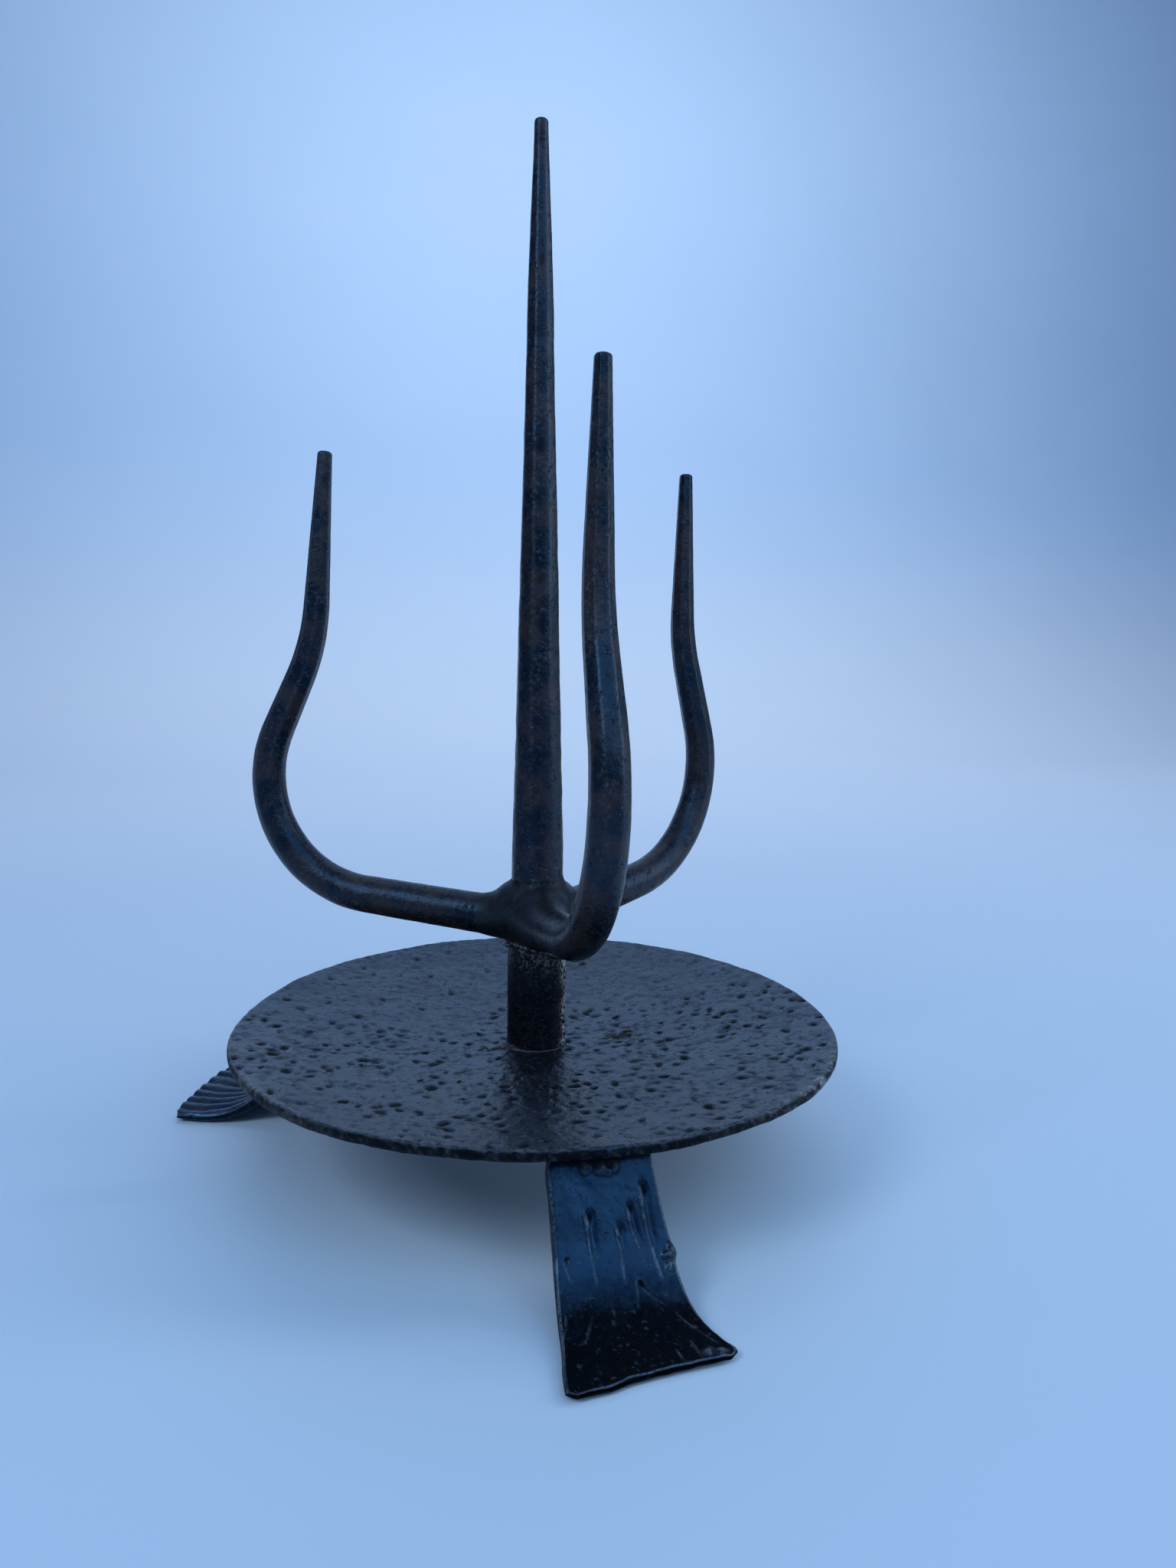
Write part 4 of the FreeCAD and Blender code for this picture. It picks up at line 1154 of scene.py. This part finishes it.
# %% Make the leg beads
SEAT_MIDDLE = 71 * MM
LEG_BEAD = 3 * MM
BAR_EDGE = 17.75 * MM
BEND_REACH = 27.5 * MM
SIDE_BEAD = np.linspace(-19, 19, 50)[:, None] * MM
CROSS_BEAD = np.linspace(-13, 13, 36)[:, None] * MM
seat_height = float(dish(SEAT_MIDDLE, PLATE_THICKNESS)) + 0.5 * MM
seat_slope = math.radians(SEAT_SLOPE)
for leg_name, (azimuth, *_) in LEGS.items():
    uphill = outward(azimuth) * math.cos(seat_slope) + UP * math.sin(seat_slope)
    seat = AXIS + outward(azimuth) * SEAT_MIDDLE + UP * seat_height
    runs = [seat + side * BAR_EDGE * sideways(azimuth) + SIDE_BEAD * uphill
            for side in (-1, 1)]
    runs.append(seat + BEND_REACH * uphill + CROSS_BEAD * sideways(azimuth))
    beads = []
    for number, line in enumerate(runs):
        steps = np.arange(len(line))
        swell = np.sqrt(np.clip(np.minimum(steps, steps[::-1]) / 3, 0.02, 1))
        radii = LEG_BEAD * swell * (0.9 + 0.12 * lumps(line, 6 * MM, 90 + number))
        beads.append(bead_piece(f"leg_{leg_name}_bead_{number}", line, radii))
    points, faces = joined((points_of(bead.data), [face.vertices for face in bead.data.polygons])
                           for bead in beads)
    marks = {label: np.concatenate([marks_of(bead.data, label) for bead in beads])
             for label in ("ridge", "hollow")}
    for bead in beads:
        bpy.data.objects.remove(bead)
    hand_over(mesh_piece(f"leg_{leg_name}_beads", points, faces, weld_iron, **marks),
              f"leg_{leg_name}_weld")

# %% [markdown]
# ## A plain studio
#
# The stand is dark, so what shows its form is what it reflects. Four soft lamps lay
# highlights down the bars and over the plate, and a fifth lights the pale sweep behind,
# which stands for the bright wall in the photograph. The rest of the room is a deep blue
# that brightens overhead, so the iron's front mirrors darkness and its slopes mirror sky.

# %% Floor, light and background
def floor_finish():
    material, bench = new_finish("pale_floor")
    spot = bench.add("ShaderNodeTexCoord", output="Object")
    patchy = bench.noise(spot, 0.35, 3.0)
    ground = bench.blend(patchy, (0.57, 0.67, 0.79, 1), (0.60, 0.70, 0.82, 1))
    wall = bench.blend(patchy, (0.39, 0.56, 0.78, 1), (0.42, 0.59, 0.81, 1))
    tone = bench.blend(bench.apart(spot, "Z").step(0.0, 0.9), ground, wall)
    end_finish(bench, bench.add("ShaderNodeBsdfPrincipled", None,
                                {"Base Color": tone, "Roughness": 0.55}))
    return material


SWEEP_FRONT = 8.0
SWEEP_START = 1.6
SWEEP_RADIUS = 1.4
SWEEP_WIDTH = 16.0
WALL_HEIGHT = 3.0
sweep_line = walk((-SWEEP_FRONT, 0), 0, [(SWEEP_FRONT + SWEEP_START, 0),
                                         (SWEEP_RADIUS * math.pi / 2, 90), (WALL_HEIGHT, 0)], 0.1)
sweep_points = [(side * SWEEP_WIDTH / 2, reach, height) for reach, height in sweep_line
                for side in (-1, 1)]
sweep_faces = [[2 * row, 2 * row + 1, 2 * row + 3, 2 * row + 2]
               for row in range(len(sweep_line) - 1)]
floor = link(mesh_piece("studio_sweep", sweep_points, sweep_faces, floor_finish()))


def soft_lamp(name, place, aim, size, power, colour=(1, 1, 1)):
    """A soft lamp with a flat face of this size at a place, turned towards a point."""
    lamp = bpy.data.lights.new(name, "AREA")
    lamp.shape = "RECTANGLE"
    lamp.size, lamp.size_y = size
    lamp.energy = power
    lamp.color = colour
    holder = link(bpy.data.objects.new(name, lamp))
    holder.location = place
    holder.rotation_euler = (Vector(aim) - Vector(place)).to_track_quat("-Z", "Y").to_euler()


MIDDLE = (0, 0.02, 0.15)
soft_lamp("key_lamp", (-1.1, -0.8, 1.2), MIDDLE, (0.6, 0.6), 10, (0.7, 0.85, 1))
soft_lamp("front_lamp", (0.7, -1.5, 0.9), MIDDLE, (0.9, 0.5), 3.5, (0.5, 0.75, 1))
soft_lamp("high_lamp", (0.1, -1.15, 1.35), MIDDLE, (2.4, 0.9), 10.5, (0.4, 0.68, 1))
soft_lamp("side_lamp", (1.3, -0.3, 0.7), MIDDLE, (0.4, 1.1), 6.5, (0.75, 0.88, 1))
soft_lamp("wall_lamp", (0.7, 0.9, 2.2), (0.7, 2.8, 1.15), (2.4, 0.6), 46)

world = bpy.data.worlds.new("dark_blue_room")
bpy.context.scene.world = world
world.use_nodes = True
bench = Bench(world.node_tree)
background = world.node_tree.nodes["Background"]
direction = bench.add("ShaderNodeTexCoord", output="Generated")
sky = bench.blend(bench.apart(direction, "Z").step(0.1, 0.95),
                  (0.05, 0.095, 0.18, 1), (0.11, 0.23, 0.44, 1))
bench.tree.links.new(sky.socket, background.inputs["Color"])
background.inputs["Strength"].default_value = 1.0
bpy.context.scene.view_settings.view_transform = "Standard"

# %% [markdown]
# ## The camera
#
# The camera stands where the photograph was taken from. Its place, aim, roll and lens
# were fitted to the plate's outline, the plumb post and the feet on the table.

# %% Set the camera
CAMERA_PLACE = Vector((-96.15, -421.5, 208.1)) * MM
YAW, PITCH, ROLL = math.radians(15), math.radians(6.39), math.radians(0.81)
FOCAL_LENGTH = 24.96
ahead = Vector((math.sin(YAW) * math.cos(PITCH), math.cos(YAW) * math.cos(PITCH),
                -math.sin(PITCH)))
level = Vector((math.cos(YAW), -math.sin(YAW), 0))
upright = level.cross(ahead)
right = math.cos(ROLL) * level + math.sin(ROLL) * upright
upward = -math.sin(ROLL) * level + math.cos(ROLL) * upright
lens = bpy.data.cameras.new("photo_camera")
lens.sensor_width = 36
lens.lens = FOCAL_LENGTH
lens.clip_start = 0.01
camera = link(bpy.data.objects.new("photo_camera", lens))
turned = Matrix((right, upward, -ahead)).transposed().to_4x4()
camera.matrix_world = Matrix.Translation(CAMERA_PLACE) @ turned
bpy.context.scene.camera = camera
print("camera at", [round(value, 4) for value in CAMERA_PLACE])
